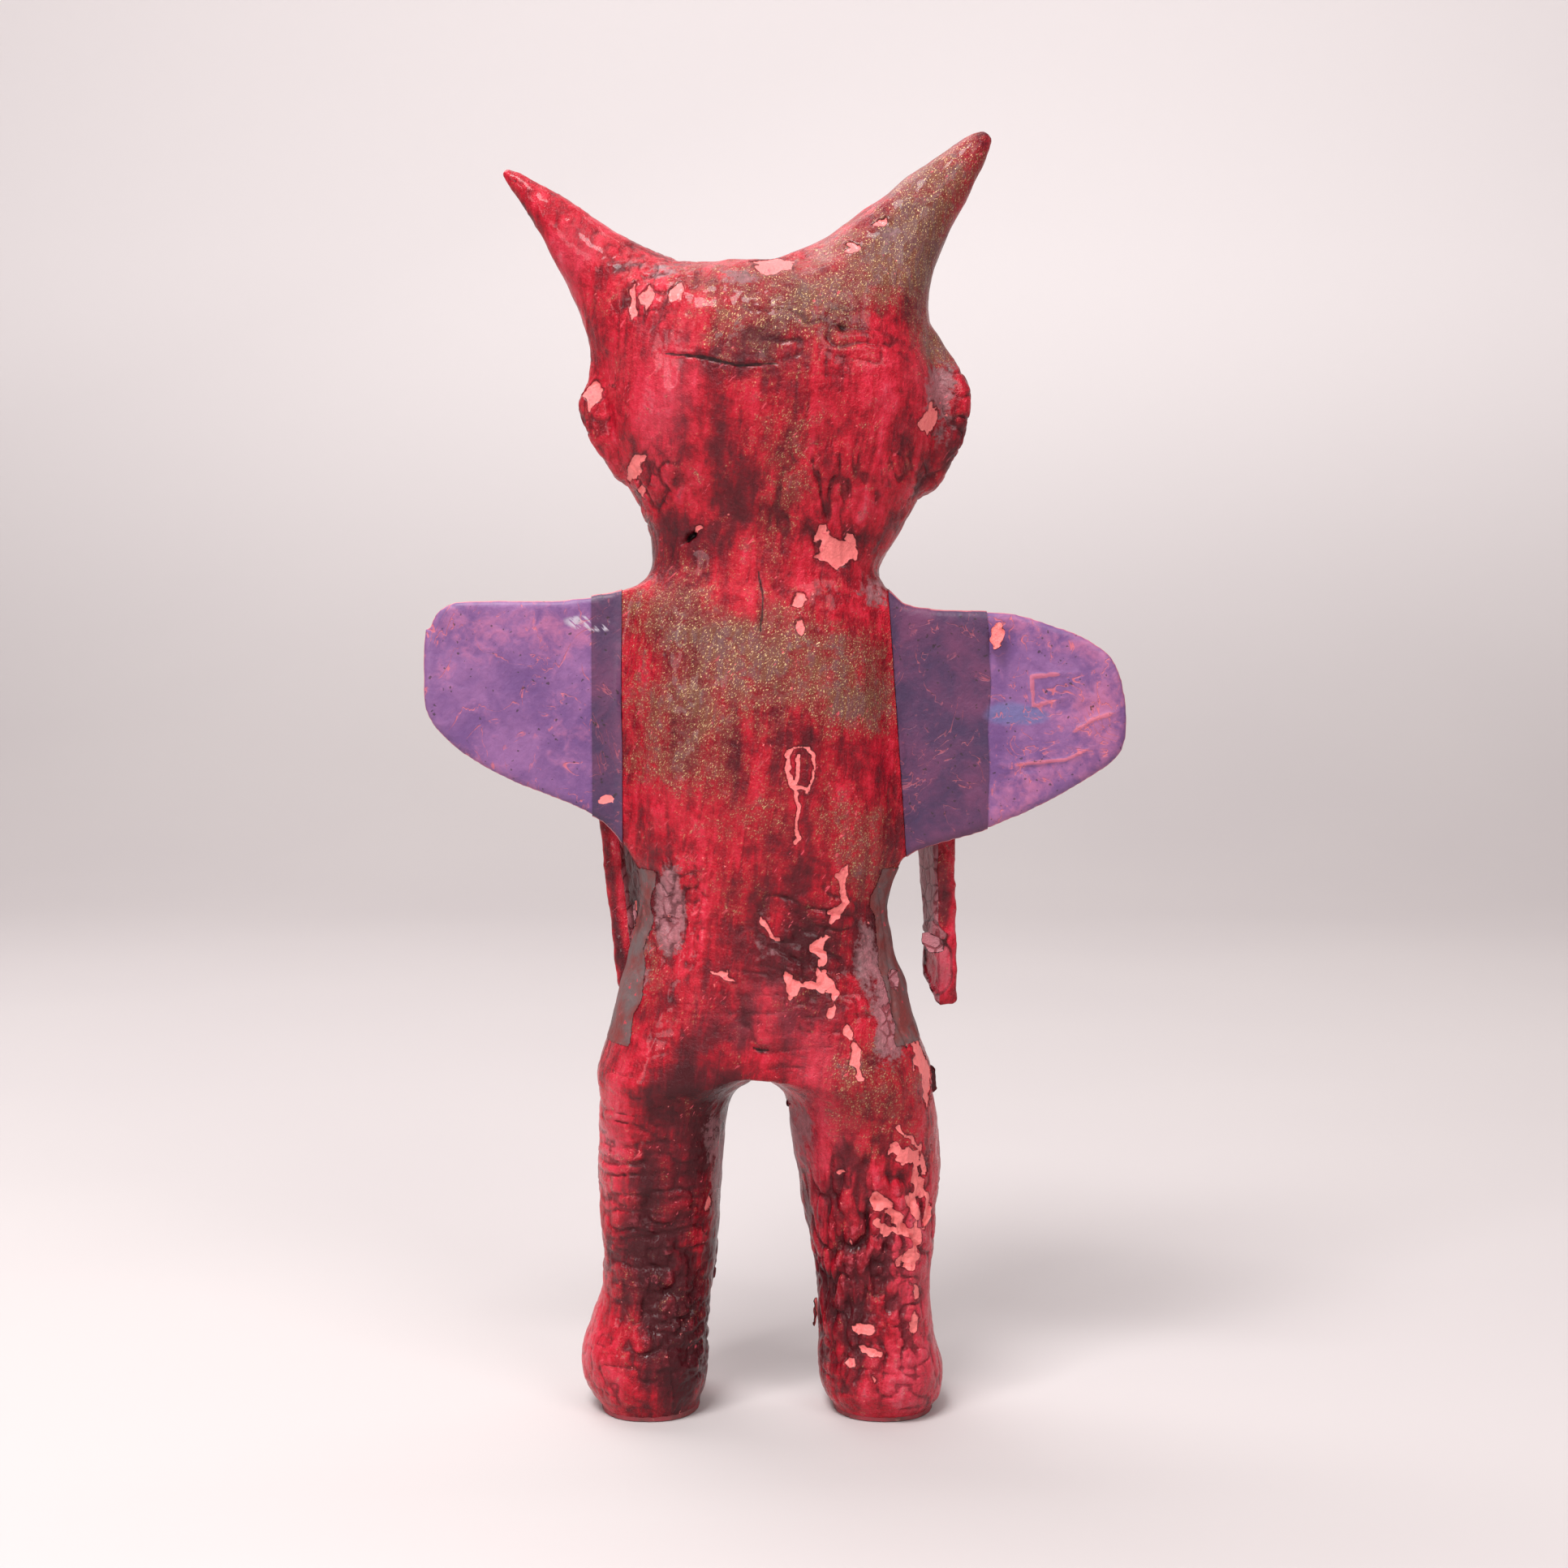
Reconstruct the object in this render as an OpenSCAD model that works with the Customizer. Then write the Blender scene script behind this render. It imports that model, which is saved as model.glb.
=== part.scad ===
// Papier-mache devil figure with horns, ears, card wings and hanging arms.
// X runs across the figure, Y is the way it faces, Z is up; the soles are at Z = 0.

/* [Heights] */
// Top of the legs, where they part
crotch_z = 77; // [74:1:80]
// Narrowest part of the waist
waist_z = 115; // [110:1:120]
// Widest part of the chest
chest_z = 148; // [142:1:154]
// Join between the torso and the head
neck_z = 188; // [186:1:190]
// Widest part of the head
temple_z = 224; // [220:1:228]
// Flat top of the head between the horns
crown_z = 254; // [252:1:256]

/* [Widths] */
// Width across the top of the legs
hip_w = 71; // [68:1:74]
// Width of the waist
waist_w = 55; // [52:1:58]
// Width of the chest between the wings
chest_w = 60; // [57:1:62]
// Width of the neck
neck_w = 50; // [47:1:53]
// Width of the head at the temples
head_w = 74; // [70:1:77]

/* [Depths] */
// Depth of the hips, front to back
hip_d = 41; // [38:1:44]
// Depth of the waist
waist_d = 37; // [34:1:40]
// Depth of the chest
chest_d = 43; // [40:1:46]
// Depth of the neck
neck_d = 34; // [32:1:37]
// Depth of the head
head_d = 52; // [49:1:55]

/* [Skin] */
// Thickness of the papier-mache skin
skin_t = 2; // [1.6:0.1:2.4]
// Thickness of a glued paper strip
strip_t = 0.8; // [0.6:0.1:1.2]
// Thickness of the card soles
sole_t = 1.2; // [1:0.1:1.6]

/* [Wings and arms] */
// Thickness of a wing
wing_t = 2.6; // [2:0.1:3.2]
// Distance of the wings behind the spine
wing_back = 6; // [5:0.5:8]
// Width of the narrow root strip on the left wing
strip_left_w = 8; // [6:0.5:10]
// Width of the wide root strip on the right wing
strip_right_w = 20; // [17:0.5:22]
// Thickness of an arm
arm_t = 4.6; // [4:0.1:5.4]
// Angle that each arm is turned inwards
arm_toe_in = 13; // [10:1:16]
// Distance of the arms in front of the spine
arm_forward = 1; // [0:0.25:2]
// Radius of the shoulder stubs
shoulder_r = 5; // [4:0.5:5.5]

/* [Face] */
// Radius of the eyeballs
eye_r = 7.5; // [6.5:0.5:8]
// Height of the eyes
eye_z = 229; // [226:1:231]
// Height of the middle of the mouth
mouth_z = 202.5; // [201:0.5:204]
// Slope of the muzzle
muzzle_slope = 25; // [20:1:30]
// Radius of the rolled lips
lip_r = 2.2; // [1.8:0.1:2.6]
// Number of upper teeth
tooth_count = 6; // [4:1:7]
// Distance from one tooth to the next
tooth_pitch = 2.7; // [2.4:0.1:3]

/* [Armature] */
// Radius of the reeds
reed_r = 3; // [2.5:0.1:3.2]
// Radius of the wire in the horns
wire_r = 0.9; // [0.7:0.1:1]
// Radius of the lashing twine
twine_r = 0.7; // [0.5:0.1:0.8]
// Radius of the rolled newspaper in the legs
roll_r = 8; // [7:0.5:8.5]

/* [Hidden] */
$fn = 32;

spine_x = -2.5;
spine_y = -4.6;
cross_y = spine_y - 2 * reed_r;
shoulder_z = 170;
hip_reed_z = 90;
squareness = 2.3;
columns = 28;
row_steps = 3;
fit_gap = 0.05;
strip_tuck = 5;
seam_low_z = 84;
seam_high_z = 122;
torso_paint = "firebrick";
card_paint = "mediumpurple";

// Each row of a body is [height, centre x, half width, depth behind, depth in front].
torso_rows = [
    [crotch_z, -2.6, hip_w / 2, hip_d / 2, hip_d / 2],
    [crotch_z + 7, -2.6, hip_w / 2 - 1.6, hip_d / 2 + 0.6, hip_d / 2],
    [crotch_z + 16, -2.8, hip_w / 2 - 3.6, hip_d / 2, hip_d / 2 - 0.5],
    [waist_z - 12, -3, waist_w / 2 + 2, waist_d / 2 + 0.6, waist_d / 2 + 0.5],
    [waist_z, -2.6, waist_w / 2, waist_d / 2, waist_d / 2],
    [waist_z + 12, -1.7, waist_w / 2 + 2.2, waist_d / 2 + 1.2, waist_d / 2 + 1.6],
    [chest_z, -2.7, chest_w / 2, chest_d / 2 - 0.8, chest_d / 2 + 0.8],
    [shoulder_z, -3.6, chest_w / 2 - 0.4, chest_d / 2 - 2, chest_d / 2 - 0.8],
    [neck_z - 8, -3.6, chest_w / 2 - 1.2, neck_d / 2 + 0.8, neck_d / 2 + 1],
    [neck_z - 4, -2.9, neck_w / 2 + 1.4, neck_d / 2 - 0.2, neck_d / 2],
    [neck_z, -2, neck_w / 2, neck_d / 2 - 0.8, neck_d / 2]
];
head_rows = [
    [neck_z, -2, neck_w / 2, neck_d / 2 - 0.8, neck_d / 2],
    [neck_z + 6, -0.4, neck_w / 2 + 2, neck_d / 2 - 0.4, neck_d / 2 + 2],
    [neck_z + 13, 0.5, head_w / 2 - 7, neck_d / 2 + 1.4, head_d / 2 - 1.5],
    [neck_z + 22, 0.6, head_w / 2 - 2.6, head_d / 2 - 4.6, head_d / 2 + 0.6],
    [temple_z, -0.2, head_w / 2, head_d / 2 - 2, head_d / 2 + 2],
    [temple_z + 10, -1.8, head_w / 2 - 0.6, head_d / 2 - 2.4, head_d / 2 + 1.4],
    [crown_z - 12, -3.8, head_w / 2 - 2.4, head_d / 2 - 4, head_d / 2 - 1],
    [crown_z - 6, -5.6, head_w / 2 - 6, head_d / 2 - 7, head_d / 2 - 5],
    [crown_z - 2.2, -8, head_w / 2 - 12, head_d / 2 - 11, head_d / 2 - 10],
    [crown_z - 0.5, -10, head_w / 2 - 19, head_d / 2 - 16, head_d / 2 - 15],
    [crown_z, -11, head_w / 2 - 26, head_d / 2 - 21, head_d / 2 - 21]
];
leg_left_rows = [
    [sole_t, -28, 11, 13, 20],
    [4, -28.6, 12.8, 15, 22],
    [9, -29.2, 13.9, 16, 22.4],
    [15, -29, 13.8, 15.6, 20.6],
    [22, -27.6, 12.7, 14.4, 17.4],
    [29, -26.5, 12, 13.8, 15],
    [41, -26, 12.9, 14.4, 15],
    [55, -25.7, 13.7, 15.6, 16],
    [66, -24.9, 14.1, 17.4, 17.6],
    [72, -23.8, 15, 18.8, 19],
    [crotch_z - fit_gap, -20.8, 17.2, hip_d / 2, hip_d / 2]
];
leg_right_rows = [
    [sole_t, 24.2, 11.2, 13, 20],
    [4, 24, 13.2, 15, 22],
    [9, 23.7, 14, 16, 22.4],
    [15, 23, 13.3, 15.6, 20.6],
    [22, 22.4, 12.7, 14.4, 17.4],
    [29, 22.2, 12.9, 13.8, 15],
    [41, 21.7, 14.5, 14.4, 15],
    [55, 21, 16, 15.6, 16],
    [66, 19.6, 16.4, 17.4, 17.6],
    [72, 18.2, 16.2, 18.8, 19],
    [crotch_z - fit_gap, 14.9, 17.9, hip_d / 2, hip_d / 2]
];
// Each station along a horn is [x, z, radius], from inside the head to the tip.
horn_left_path = [
    [-20, 232, 17], [-27.5, 241.5, 14], [-35, 249.8, 10], [-42.7, 258, 6.6],
    [-50.5, 266.6, 4.3], [-56.6, 271.8, 2.5], [-59.4, 274.2, 1.1]
];
horn_right_path = [
    [8, 232, 22], [16.4, 244, 17], [24, 255.2, 12], [30.4, 263.2, 8.8],
    [36, 270, 6.3], [41, 276, 4.2], [45, 280.4, 2.4], [46.6, 282, 1.2]
];
// Outer edge of each wing as [x, z], from the top of the root round the tip to the bottom of the root.
wing_left_edge = [
    [-38.7, 181.8], [-47.7, 180.6], [-67, 180.6], [-72.8, 178.8], [-75.6, 174], [-76.9, 165],
    [-76.4, 156.8], [-72.5, 150.6], [-65.5, 145.2], [-56.7, 140.4], [-45, 136], [-37.6, 132]
];
wing_right_edge = [
    [27.9, 179.6], [36, 178.2], [49.5, 178.2], [60.3, 175.6], [69.6, 171.6], [74.4, 167],
    [77, 158], [76.4, 148.6], [72, 144], [60.3, 136.8], [48, 131.2], [36, 127.2]
];
wing_top_root = 183.5;
wing_bottom_root = 124.5;

function power(v, e) = (v < 0 ? -1 : 1) * pow(abs(v), e);
function spline(a, b, c, d, t) =
    0.5 * (2 * b + (c - a) * t + (2 * a - 5 * b + 4 * c - d) * t * t
    + (3 * b - a - 3 * c + d) * t * t * t);
function smooth(rows, steps) = concat(
    [for (i = [0:len(rows) - 2])
        for (j = [0:steps - 1])
            spline(rows[max(i - 1, 0)], rows[i], rows[i + 1],
                rows[min(i + 2, len(rows) - 1)], j / steps)],
    [rows[len(rows) - 1]]
);

// One level ring of a body from angle a0 to a1, moved out by grow.
function ring(row, a0, a1, n, grow) = [
    for (i = [0:n])
        let (a = a0 + (a1 - a0) * i / n)
        let (d = (sin(a) < 0 ? row[3] : row[4]) + grow)
        [row[1] + (row[2] + grow) * power(cos(a), 2 / squareness),
         spine_y + d * power(sin(a), 2 / squareness), row[0]]
];

function full_ring(row, grow) = ring(row, 0, 360 - 360 / columns, columns - 1, grow);

// Lowers the inside of a closed top by the thickness of the skin.
function lowered(row, from_z, top_z, drop) = from_z >= top_z || row[0] < from_z ? row :
    concat([row[0] - drop * (row[0] - from_z) / (top_z - from_z)], [for (i = [1:4]) row[i]]);

function quad(a, b, c, d) = [[a, b, c], [a, c, d]];

// Skin between two stacks of rings, open along its two side edges, with its top closed or open.
module skin(outer, inner, closed_top) {
    rows = len(outer);
    m = len(outer[0]) - 1;
    side = m + 1;
    half = rows * side;
    top = rows - 1;
    points = concat([for (r = outer) each r], [for (r = inner) each r]);
    walls = [for (i = [0:rows - 2]) for (j = [0:m - 1])
        let (o = i * side + j)
        let (q = half + o)
        each concat(quad(o, o + side, o + side + 1, o + 1), quad(q, q + 1, q + side + 1, q + side))];
    edges = [for (i = [0:rows - 2])
        let (o = i * side)
        let (q = half + o)
        each concat(quad(o, q, q + side, o + side),
            quad(o + m, o + m + side, q + m + side, q + m))];
    floor_rim = [for (j = [0:m - 1]) each quad(j, j + 1, half + j + 1, half + j)];
    t = top * side;
    top_rim = [for (j = [0:m - 1]) each quad(t + j, half + t + j, half + t + j + 1, t + j + 1)];
    caps = concat(
        [[for (j = [m:-1:0]) t + j], [for (j = [0:m]) half + t + j]],
        quad(t + m, t, half + t, half + t + m)
    );
    polyhedron(points, concat(walls, edges, floor_rim, closed_top ? caps : top_rim));
}

// Stack of whole rings as one solid.
module solid_stack(rings) {
    n = len(rings[0]);
    top = (len(rings) - 1) * n;
    walls = [for (i = [0:len(rings) - 2]) for (j = [0:n - 1])
        let (a = i * n + j)
        let (b = i * n + (j + 1) % n)
        each quad(a, a + n, b + n, b)];
    ends = [[for (j = [0:n - 1]) j], [for (j = [n - 1:-1:0]) top + j]];
    polyhedron([for (r = rings) each r], concat(walls, ends));
}

// Part of a body between two angles, from `low` to `high` above its surface.
module body_sector(rows, a0, a1, n, low, high) {
    s = smooth(rows, row_steps);
    skin([for (r = s) ring(r, a0, a1, n, high)], [for (r = s) ring(r, a0, a1, n, low)], false);
}

module head_half(a0) {
    s = smooth(head_rows, row_steps);
    skin(
        [for (r = s) ring(r, a0, a0 + 180, columns / 2, 0)],
        [for (r = s) ring(lowered(r, temple_z, crown_z, skin_t), a0, a0 + 180, columns / 2, -skin_t)],
        true
    );
}

module head_solid() {
    solid_stack([for (r = smooth(head_rows, row_steps)) full_ring(r, 0)]);
}

// Skin of a whole leg, open at the hip and at the sole.
module leg_tube(rows) {
    s = smooth(rows, 2);
    outer = [for (r = s) full_ring(r, 0)];
    inner = [for (r = s) full_ring(r, -skin_t)];
    n = columns;
    half = len(outer) * n;
    top = half - n;
    walls = [for (i = [0:len(outer) - 2]) for (j = [0:n - 1])
        let (a = i * n + j)
        let (b = i * n + (j + 1) % n)
        each concat(quad(a, a + n, b + n, b),
            quad(half + a, half + b, half + b + n, half + a + n))];
    rims = [for (j = [0:n - 1])
        let (k = (j + 1) % n)
        each concat(quad(j, k, half + k, half + j),
            quad(top + j, half + top + j, half + top + k, top + k))];
    polyhedron(concat([for (r = outer) each r], [for (r = inner) each r]), concat(walls, rims));
}

// Keeps a shaped piece as one shaped skin after it has been cut.
module shaped() {
    resize([0, 0, 0]) children();
}

module rod(p, q, r) {
    v = q - p;
    translate(p)
        rotate([0, acos(v[2] / norm(v)), atan2(v[1], v[0])])
            cylinder(h = norm(v), r = r);
}

module horn_cone(path) {
    s = smooth(path, 2);
    n = 18;
    rings = [for (i = [0:len(s) - 1])
        let (v = s[min(i + 1, len(s) - 1)] - s[max(i - 1, 0)])
        let (d = [v[0], v[1]] / norm([v[0], v[1]]))
        [for (j = [0:n - 1])
            let (a = 360 * j / n)
            let (across = s[i][2] * cos(a))
            [s[i][0] + across * d[1], spine_y + s[i][2] * sin(a), s[i][1] - across * d[0]]]];
    solid_stack(rings);
}

// The horn wires run straight from inside the head to near each tip.
wire_left = [[-27, spine_y, 240], [-55, spine_y, 270.5]];
wire_right = [[16, spine_y, 244], [43.4, spine_y, 278.4]];

module horn(path, wire) {
    shaped() difference() {
        horn_cone(path);
        head_solid();
        rod(wire[0], wire[1] + 0.01 * (wire[1] - wire[0]), wire_r + fit_gap, $fn = 12);
    }
}

module head_shell(a0) {
    shaped() difference() {
        head_half(a0);
        for (w = [wire_left, wire_right]) rod(w[0], w[1], wire_r + fit_gap, $fn = 12);
    }
}

module blob(x, y, z, r) {
    translate([x, spine_y + y, z]) sphere(r = r);
}

// Torso row at height z.
function torso_row(z) =
    let (rows = smooth(torso_rows, 6))
    let (i = [for (k = [0:len(rows) - 2]) if (rows[k][0] <= z && rows[k + 1][0] >= z) k][0])
    let (t = (z - rows[i][0]) / (rows[i + 1][0] - rows[i][0]))
    rows[i] * (1 - t) + rows[i + 1] * t;
// X of the torso's side at height z and a distance back from the spine, on side s.
function flank_x(z, s, back) =
    let (r = torso_row(z))
    r[1] + s * r[2] * pow(1 - pow(abs(back) / r[3], squareness), 1 / squareness);

// Wing outline between the flank and the smoothed outer edge.
module wing_outline(edge, s) {
    root = [for (i = [0:8])
        let (z = wing_bottom_root + (wing_top_root - wing_bottom_root) * i / 8)
        [flank_x(z, s, wing_back) + s * fit_gap, z]];
    polygon(concat(root, smooth(edge, 3)));
}

module wing_plate(edge, s) {
    translate([0, spine_y - wing_back + wing_t / 2, 0])
        rotate([90, 0, 0])
            linear_extrude(height = wing_t) wing_outline(edge, s);
}

// Strip over the part of a wing that lies within `width` of the flank at chest height.
module wing_strip(edge, s, width) {
    root_x = flank_x(chest_z, s, wing_back);
    inner_x = root_x - s * strip_tuck;
    outer_x = root_x + s * width;
    translate([0, spine_y - wing_back - wing_t / 2, 0])
        rotate([90, 0, 0])
            linear_extrude(height = strip_t)
                intersection() {
                    wing_outline(edge, s);
                    translate([min(inner_x, outer_x), wing_bottom_root])
                        square([abs(outer_x - inner_x), wing_top_root - wing_bottom_root]);
                }
}

// Flat arm in its own frame: X is its thickness, Y its depth, Z runs up from the tip of the hand.
// The depths at the wrist and the palm and the slant of the cut end differ from arm to arm.
module arm_bar(length, wrist, palm, slant) {
    profile = [
        [0.8, 0], [0.2, 8], [0, 30], [1.6, length - 6], [4, length], [11, length],
        [13.6, length - 6], [15.4, 46], [14.4, 34], [wrist + 1, 22], [wrist, 16],
        [palm, 9], [palm, slant]
    ];
    rotate([90, 0, 90])
        linear_extrude(height = arm_t, center = true) polygon(profile);
}

module arm(s, tip, splay, stub) {
    color(torso_paint) {
        translate([tip[0], spine_y + arm_forward, tip[1]])
            rotate([0, s * splay, s * arm_toe_in]) children();
        translate([stub[0], spine_y + arm_forward + 7, shoulder_z - 4])
            rotate([0, 90, 0]) cylinder(h = stub[1], r = shoulder_r);
    }
}

module sole(rows) {
    color("darkkhaki")
        linear_extrude(height = sole_t)
            polygon([for (p = full_ring(rows[0], 0)) [p[0], p[1]]]);
}

// Twine turns round the upright and the cross reed where they meet.
module lashing(x, y, z) {
    for (s = [-1, 1]) for (i = [0:2]) {
        reach = reed_r + twine_r + 2 * i * twine_r;
        translate([x, y, z + s * reach]) twine_turn();
        translate([x + s * reach, cross_y, z]) rotate([0, 90, 0]) twine_turn();
    }
}

module twine_turn() {
    rotate_extrude()
        translate([reed_r + twine_r, 0]) circle(r = twine_r, $fn = 16);
}

module wad(x, y, z, size) {
    translate([x, spine_y + y, z]) scale(size) sphere(r = 1);
}

leg_foot_left = [-27.6, spine_y, 3];
leg_top_left = [-20.5, spine_y, hip_reed_z + 4];
leg_foot_right = [23.6, spine_y, 3];
leg_top_right = [15.5, spine_y, hip_reed_z + 4];

module leg_roll(p, q) {
    v = q - p;
    color("gainsboro") difference() {
        rod(p + 0.02 * v, p + 0.7 * v, roll_r);
        rod(p - 0.1 * v, q, reed_r);
    }
}

module head_back_shell() { color(torso_paint) head_shell(180); }
module head_front_shell() { color(torso_paint) head_shell(0); }
module torso_back_shell() {
    color(torso_paint) body_sector(torso_rows, 180, 360, columns / 2, -skin_t, 0);
}
module torso_front_shell() {
    color(torso_paint) body_sector(torso_rows, 0, 180, columns / 2, -skin_t, 0);
}
module leg_shell_left() { color(torso_paint) leg_tube(leg_left_rows); }
module leg_shell_right() { color(torso_paint) leg_tube(leg_right_rows); }
module sole_left() { sole(leg_left_rows); }
module sole_right() { sole(leg_right_rows); }
module horn_left() { color(torso_paint) horn(horn_left_path, wire_left); }
module horn_right() { color(torso_paint) horn(horn_right_path, wire_right); }

module ear_left() {
    color(torso_paint) shaped() difference() {
        hull($fn = 20) {
            blob(-35, -1, 234, 3);
            blob(-39.6, -3, 223, 3.4);
            blob(-37.4, -3, 216, 3.2);
            blob(-33, -1, 210, 3);
            blob(-34, 5, 222, 2);
        }
        head_solid();
        blob(-41.5, 4, 222, 5);
    }
}

module ear_right() {
    color(torso_paint) shaped() difference() {
        hull($fn = 20) {
            blob(33, -1, 236, 3);
            blob(39.4, -4, 225, 3.6);
            blob(38.2, -4, 216, 3);
            blob(33.5, -1, 207, 3);
            blob(34, 5, 222, 2);
        }
        head_solid();
        blob(42, 4, 222, 5.5);
    }
}

module wing_left() { color(card_paint) wing_plate(wing_left_edge, -1); }
module wing_right() { color(card_paint) wing_plate(wing_right_edge, 1); }
module wing_strip_left() { color("rebeccapurple") wing_strip(wing_left_edge, -1, strip_left_w); }
module wing_strip_right() { color("rebeccapurple") wing_strip(wing_right_edge, 1, strip_right_w); }

// The seam strips cover the flank seams from the hips to below the wings.
seam_rows = [for (i = [0:6]) torso_row(seam_low_z + (seam_high_z - seam_low_z) * i / 6)];
module seam_strip_left() { color("dimgray") body_sector(seam_rows, 166, 212, 5, fit_gap, strip_t); }
module seam_strip_right() { color("dimgray") body_sector(seam_rows, -30, 14, 5, fit_gap, strip_t); }

// Each arm's tip is [x, z], and each shoulder stub is [where it starts in X, its length].
module arm_left() { arm(-1, [-33, 94], 6.4, [-39, 7]) arm_bar(78, 12, 13, 4); }
module arm_right() { arm(1, [38.7, 90], -1.5, [25, 10.5]) arm_bar(82, 10.5, 13, 5.5); }

module eye_dome(x) {
    color("white") shaped() difference() {
        blob(x, 23.4, eye_z, eye_r, $fn = 28);
        head_solid();
    }
}
module eye_left() { eye_dome(-15); }
module eye_right() { eye_dome(13); }
module nose() {
    color(torso_paint) shaped() difference() {
        hull($fn = 20) {
            blob(-1, 25, 225, 3);
            blob(-6, 25, 214, 3.4);
            blob(4, 25, 214, 3.4);
            blob(-1, 29, 215, 3.6);
        }
        head_solid();
    }
}
// Places its children on the sloping muzzle: X across, Y out of the face, Z up the slope.
module on_muzzle() {
    translate([-0.5, spine_y + 23.4, mouth_z]) rotate([-muzzle_slope, 0, 0]) children();
}
module mouth_ring() {
    on_muzzle() rotate([90, 0, 0])
        scale([1.7, 0.85, 1])
            rotate_extrude($fn = 28) translate([7.2, 0]) circle(r = lip_r, $fn = 12);
}
module lips() {
    color("crimson") shaped() difference() {
        mouth_ring();
        head_solid();
    }
}
module teeth() {
    color("ivory") shaped() difference() {
        on_muzzle() for (i = [0:tooth_count - 1])
            translate([tooth_pitch * (i - tooth_count / 2) + fit_gap, -4, 0])
                cube([tooth_pitch - 0.4, 5, 6]);
        head_solid();
        mouth_ring();
    }
}
module chin_beard() {
    color("black") shaped() difference() {
        hull($fn = 18) {
            blob(-5, 19, 194, 2.5);
            blob(4, 19, 194, 2.5);
            blob(-0.5, 23.5, 184, 1.6);
        }
        head_solid();
    }
}

module spine_reed() {
    color("burlywood") rod([spine_x, spine_y, hip_reed_z - 6], [spine_x, spine_y, 240], reed_r);
}
module shoulder_reed() {
    color("burlywood") rod([-29, cross_y, shoulder_z], [22, cross_y, shoulder_z], reed_r);
}
module hip_reed() {
    color("burlywood") rod([-29, cross_y, hip_reed_z], [23, cross_y, hip_reed_z], reed_r);
}
module leg_reed_left() { color("burlywood") rod(leg_foot_left, leg_top_left, reed_r); }
module leg_reed_right() { color("burlywood") rod(leg_foot_right, leg_top_right, reed_r); }
module shoulder_lashing() { color("tan") lashing(spine_x, spine_y, shoulder_z); }
module hip_lashing() { color("tan") lashing(spine_x, spine_y, hip_reed_z); }
module horn_wire_left() { color("gray") rod(wire_left[0], wire_left[1], wire_r); }
module horn_wire_right() { color("gray") rod(wire_right[0], wire_right[1], wire_r); }

module head_wads() {
    color("gainsboro") {
        wad(-19.5, 2, 220, [13, 17, 18]);
        wad(14.5, 2, 220, [13, 17, 18]);
    }
}
module torso_wads() {
    color("gainsboro") for (s = [-1, 1]) {
        wad(spine_x + s * (reed_r + 10), 0, 112, [9.6, 12, 18]);
        wad(spine_x + s * (reed_r + 11), 0, 147, [10.6, 13, 16]);
    }
}
module leg_roll_left() { leg_roll(leg_foot_left, leg_top_left); }
module leg_roll_right() { leg_roll(leg_foot_right, leg_top_right); }

head_back_shell();
head_front_shell();
torso_back_shell();
torso_front_shell();
leg_shell_left();
leg_shell_right();
sole_left();
sole_right();
horn_left();
horn_right();
ear_left();
ear_right();
wing_left();
wing_right();
wing_strip_left();
wing_strip_right();
seam_strip_left();
seam_strip_right();
arm_left();
arm_right();
eye_left();
eye_right();
nose();
lips();
teeth();
chin_beard();
spine_reed();
shoulder_reed();
hip_reed();
leg_reed_left();
leg_reed_right();
shoulder_lashing();
hip_lashing();
horn_wire_left();
horn_wire_right();
head_wads();
torso_wads();
leg_roll_left();
leg_roll_right();
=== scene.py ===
"""Looks of the papier-mache devil figure, built round its CAD frame."""

import math

import bpy
import numpy as np
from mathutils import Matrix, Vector
from mathutils.bvhtree import BVHTree


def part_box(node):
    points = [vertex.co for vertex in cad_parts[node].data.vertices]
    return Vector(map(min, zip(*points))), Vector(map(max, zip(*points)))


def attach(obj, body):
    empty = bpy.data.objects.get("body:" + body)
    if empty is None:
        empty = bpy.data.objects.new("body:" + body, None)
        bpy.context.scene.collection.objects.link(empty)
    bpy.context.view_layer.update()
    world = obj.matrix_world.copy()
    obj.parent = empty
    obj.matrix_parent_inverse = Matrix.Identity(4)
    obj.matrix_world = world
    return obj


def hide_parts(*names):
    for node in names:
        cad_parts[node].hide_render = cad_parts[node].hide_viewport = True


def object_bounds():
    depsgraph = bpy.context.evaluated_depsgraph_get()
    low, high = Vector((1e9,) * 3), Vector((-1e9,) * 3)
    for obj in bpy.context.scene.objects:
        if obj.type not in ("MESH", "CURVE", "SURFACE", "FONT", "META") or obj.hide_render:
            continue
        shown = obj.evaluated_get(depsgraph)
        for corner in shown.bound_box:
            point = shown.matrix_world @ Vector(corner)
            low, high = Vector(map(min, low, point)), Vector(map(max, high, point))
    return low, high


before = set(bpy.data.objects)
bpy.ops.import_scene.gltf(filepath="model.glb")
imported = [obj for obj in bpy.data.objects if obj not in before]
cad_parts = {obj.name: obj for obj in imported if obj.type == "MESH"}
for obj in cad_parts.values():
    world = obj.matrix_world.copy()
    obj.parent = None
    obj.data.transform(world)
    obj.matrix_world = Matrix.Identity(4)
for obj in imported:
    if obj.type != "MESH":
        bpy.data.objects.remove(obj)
cad_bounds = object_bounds()

# Shapes are worked out in millimetres in the row frame and written to Blender in metres.
MM = 0.001
CELL = 0.8
# How square the trunk's and the legs' level sections are; 2 is an ellipse.
SQUARENESS = 2.3
# How thick a piece's skin is, and how far the mache stays above the soles' underside.
SKIN = 1.1
FOOT_CLEAR = 0.15
# Distance fields are cut off here.
FAR = 12.0
CORNERS = [(0, 0, 0), (1, 0, 0), (0, 1, 0), (1, 1, 0), (0, 0, 1), (1, 0, 1), (0, 1, 1), (1, 1, 1)]


# ---------------- reading the frame


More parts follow.
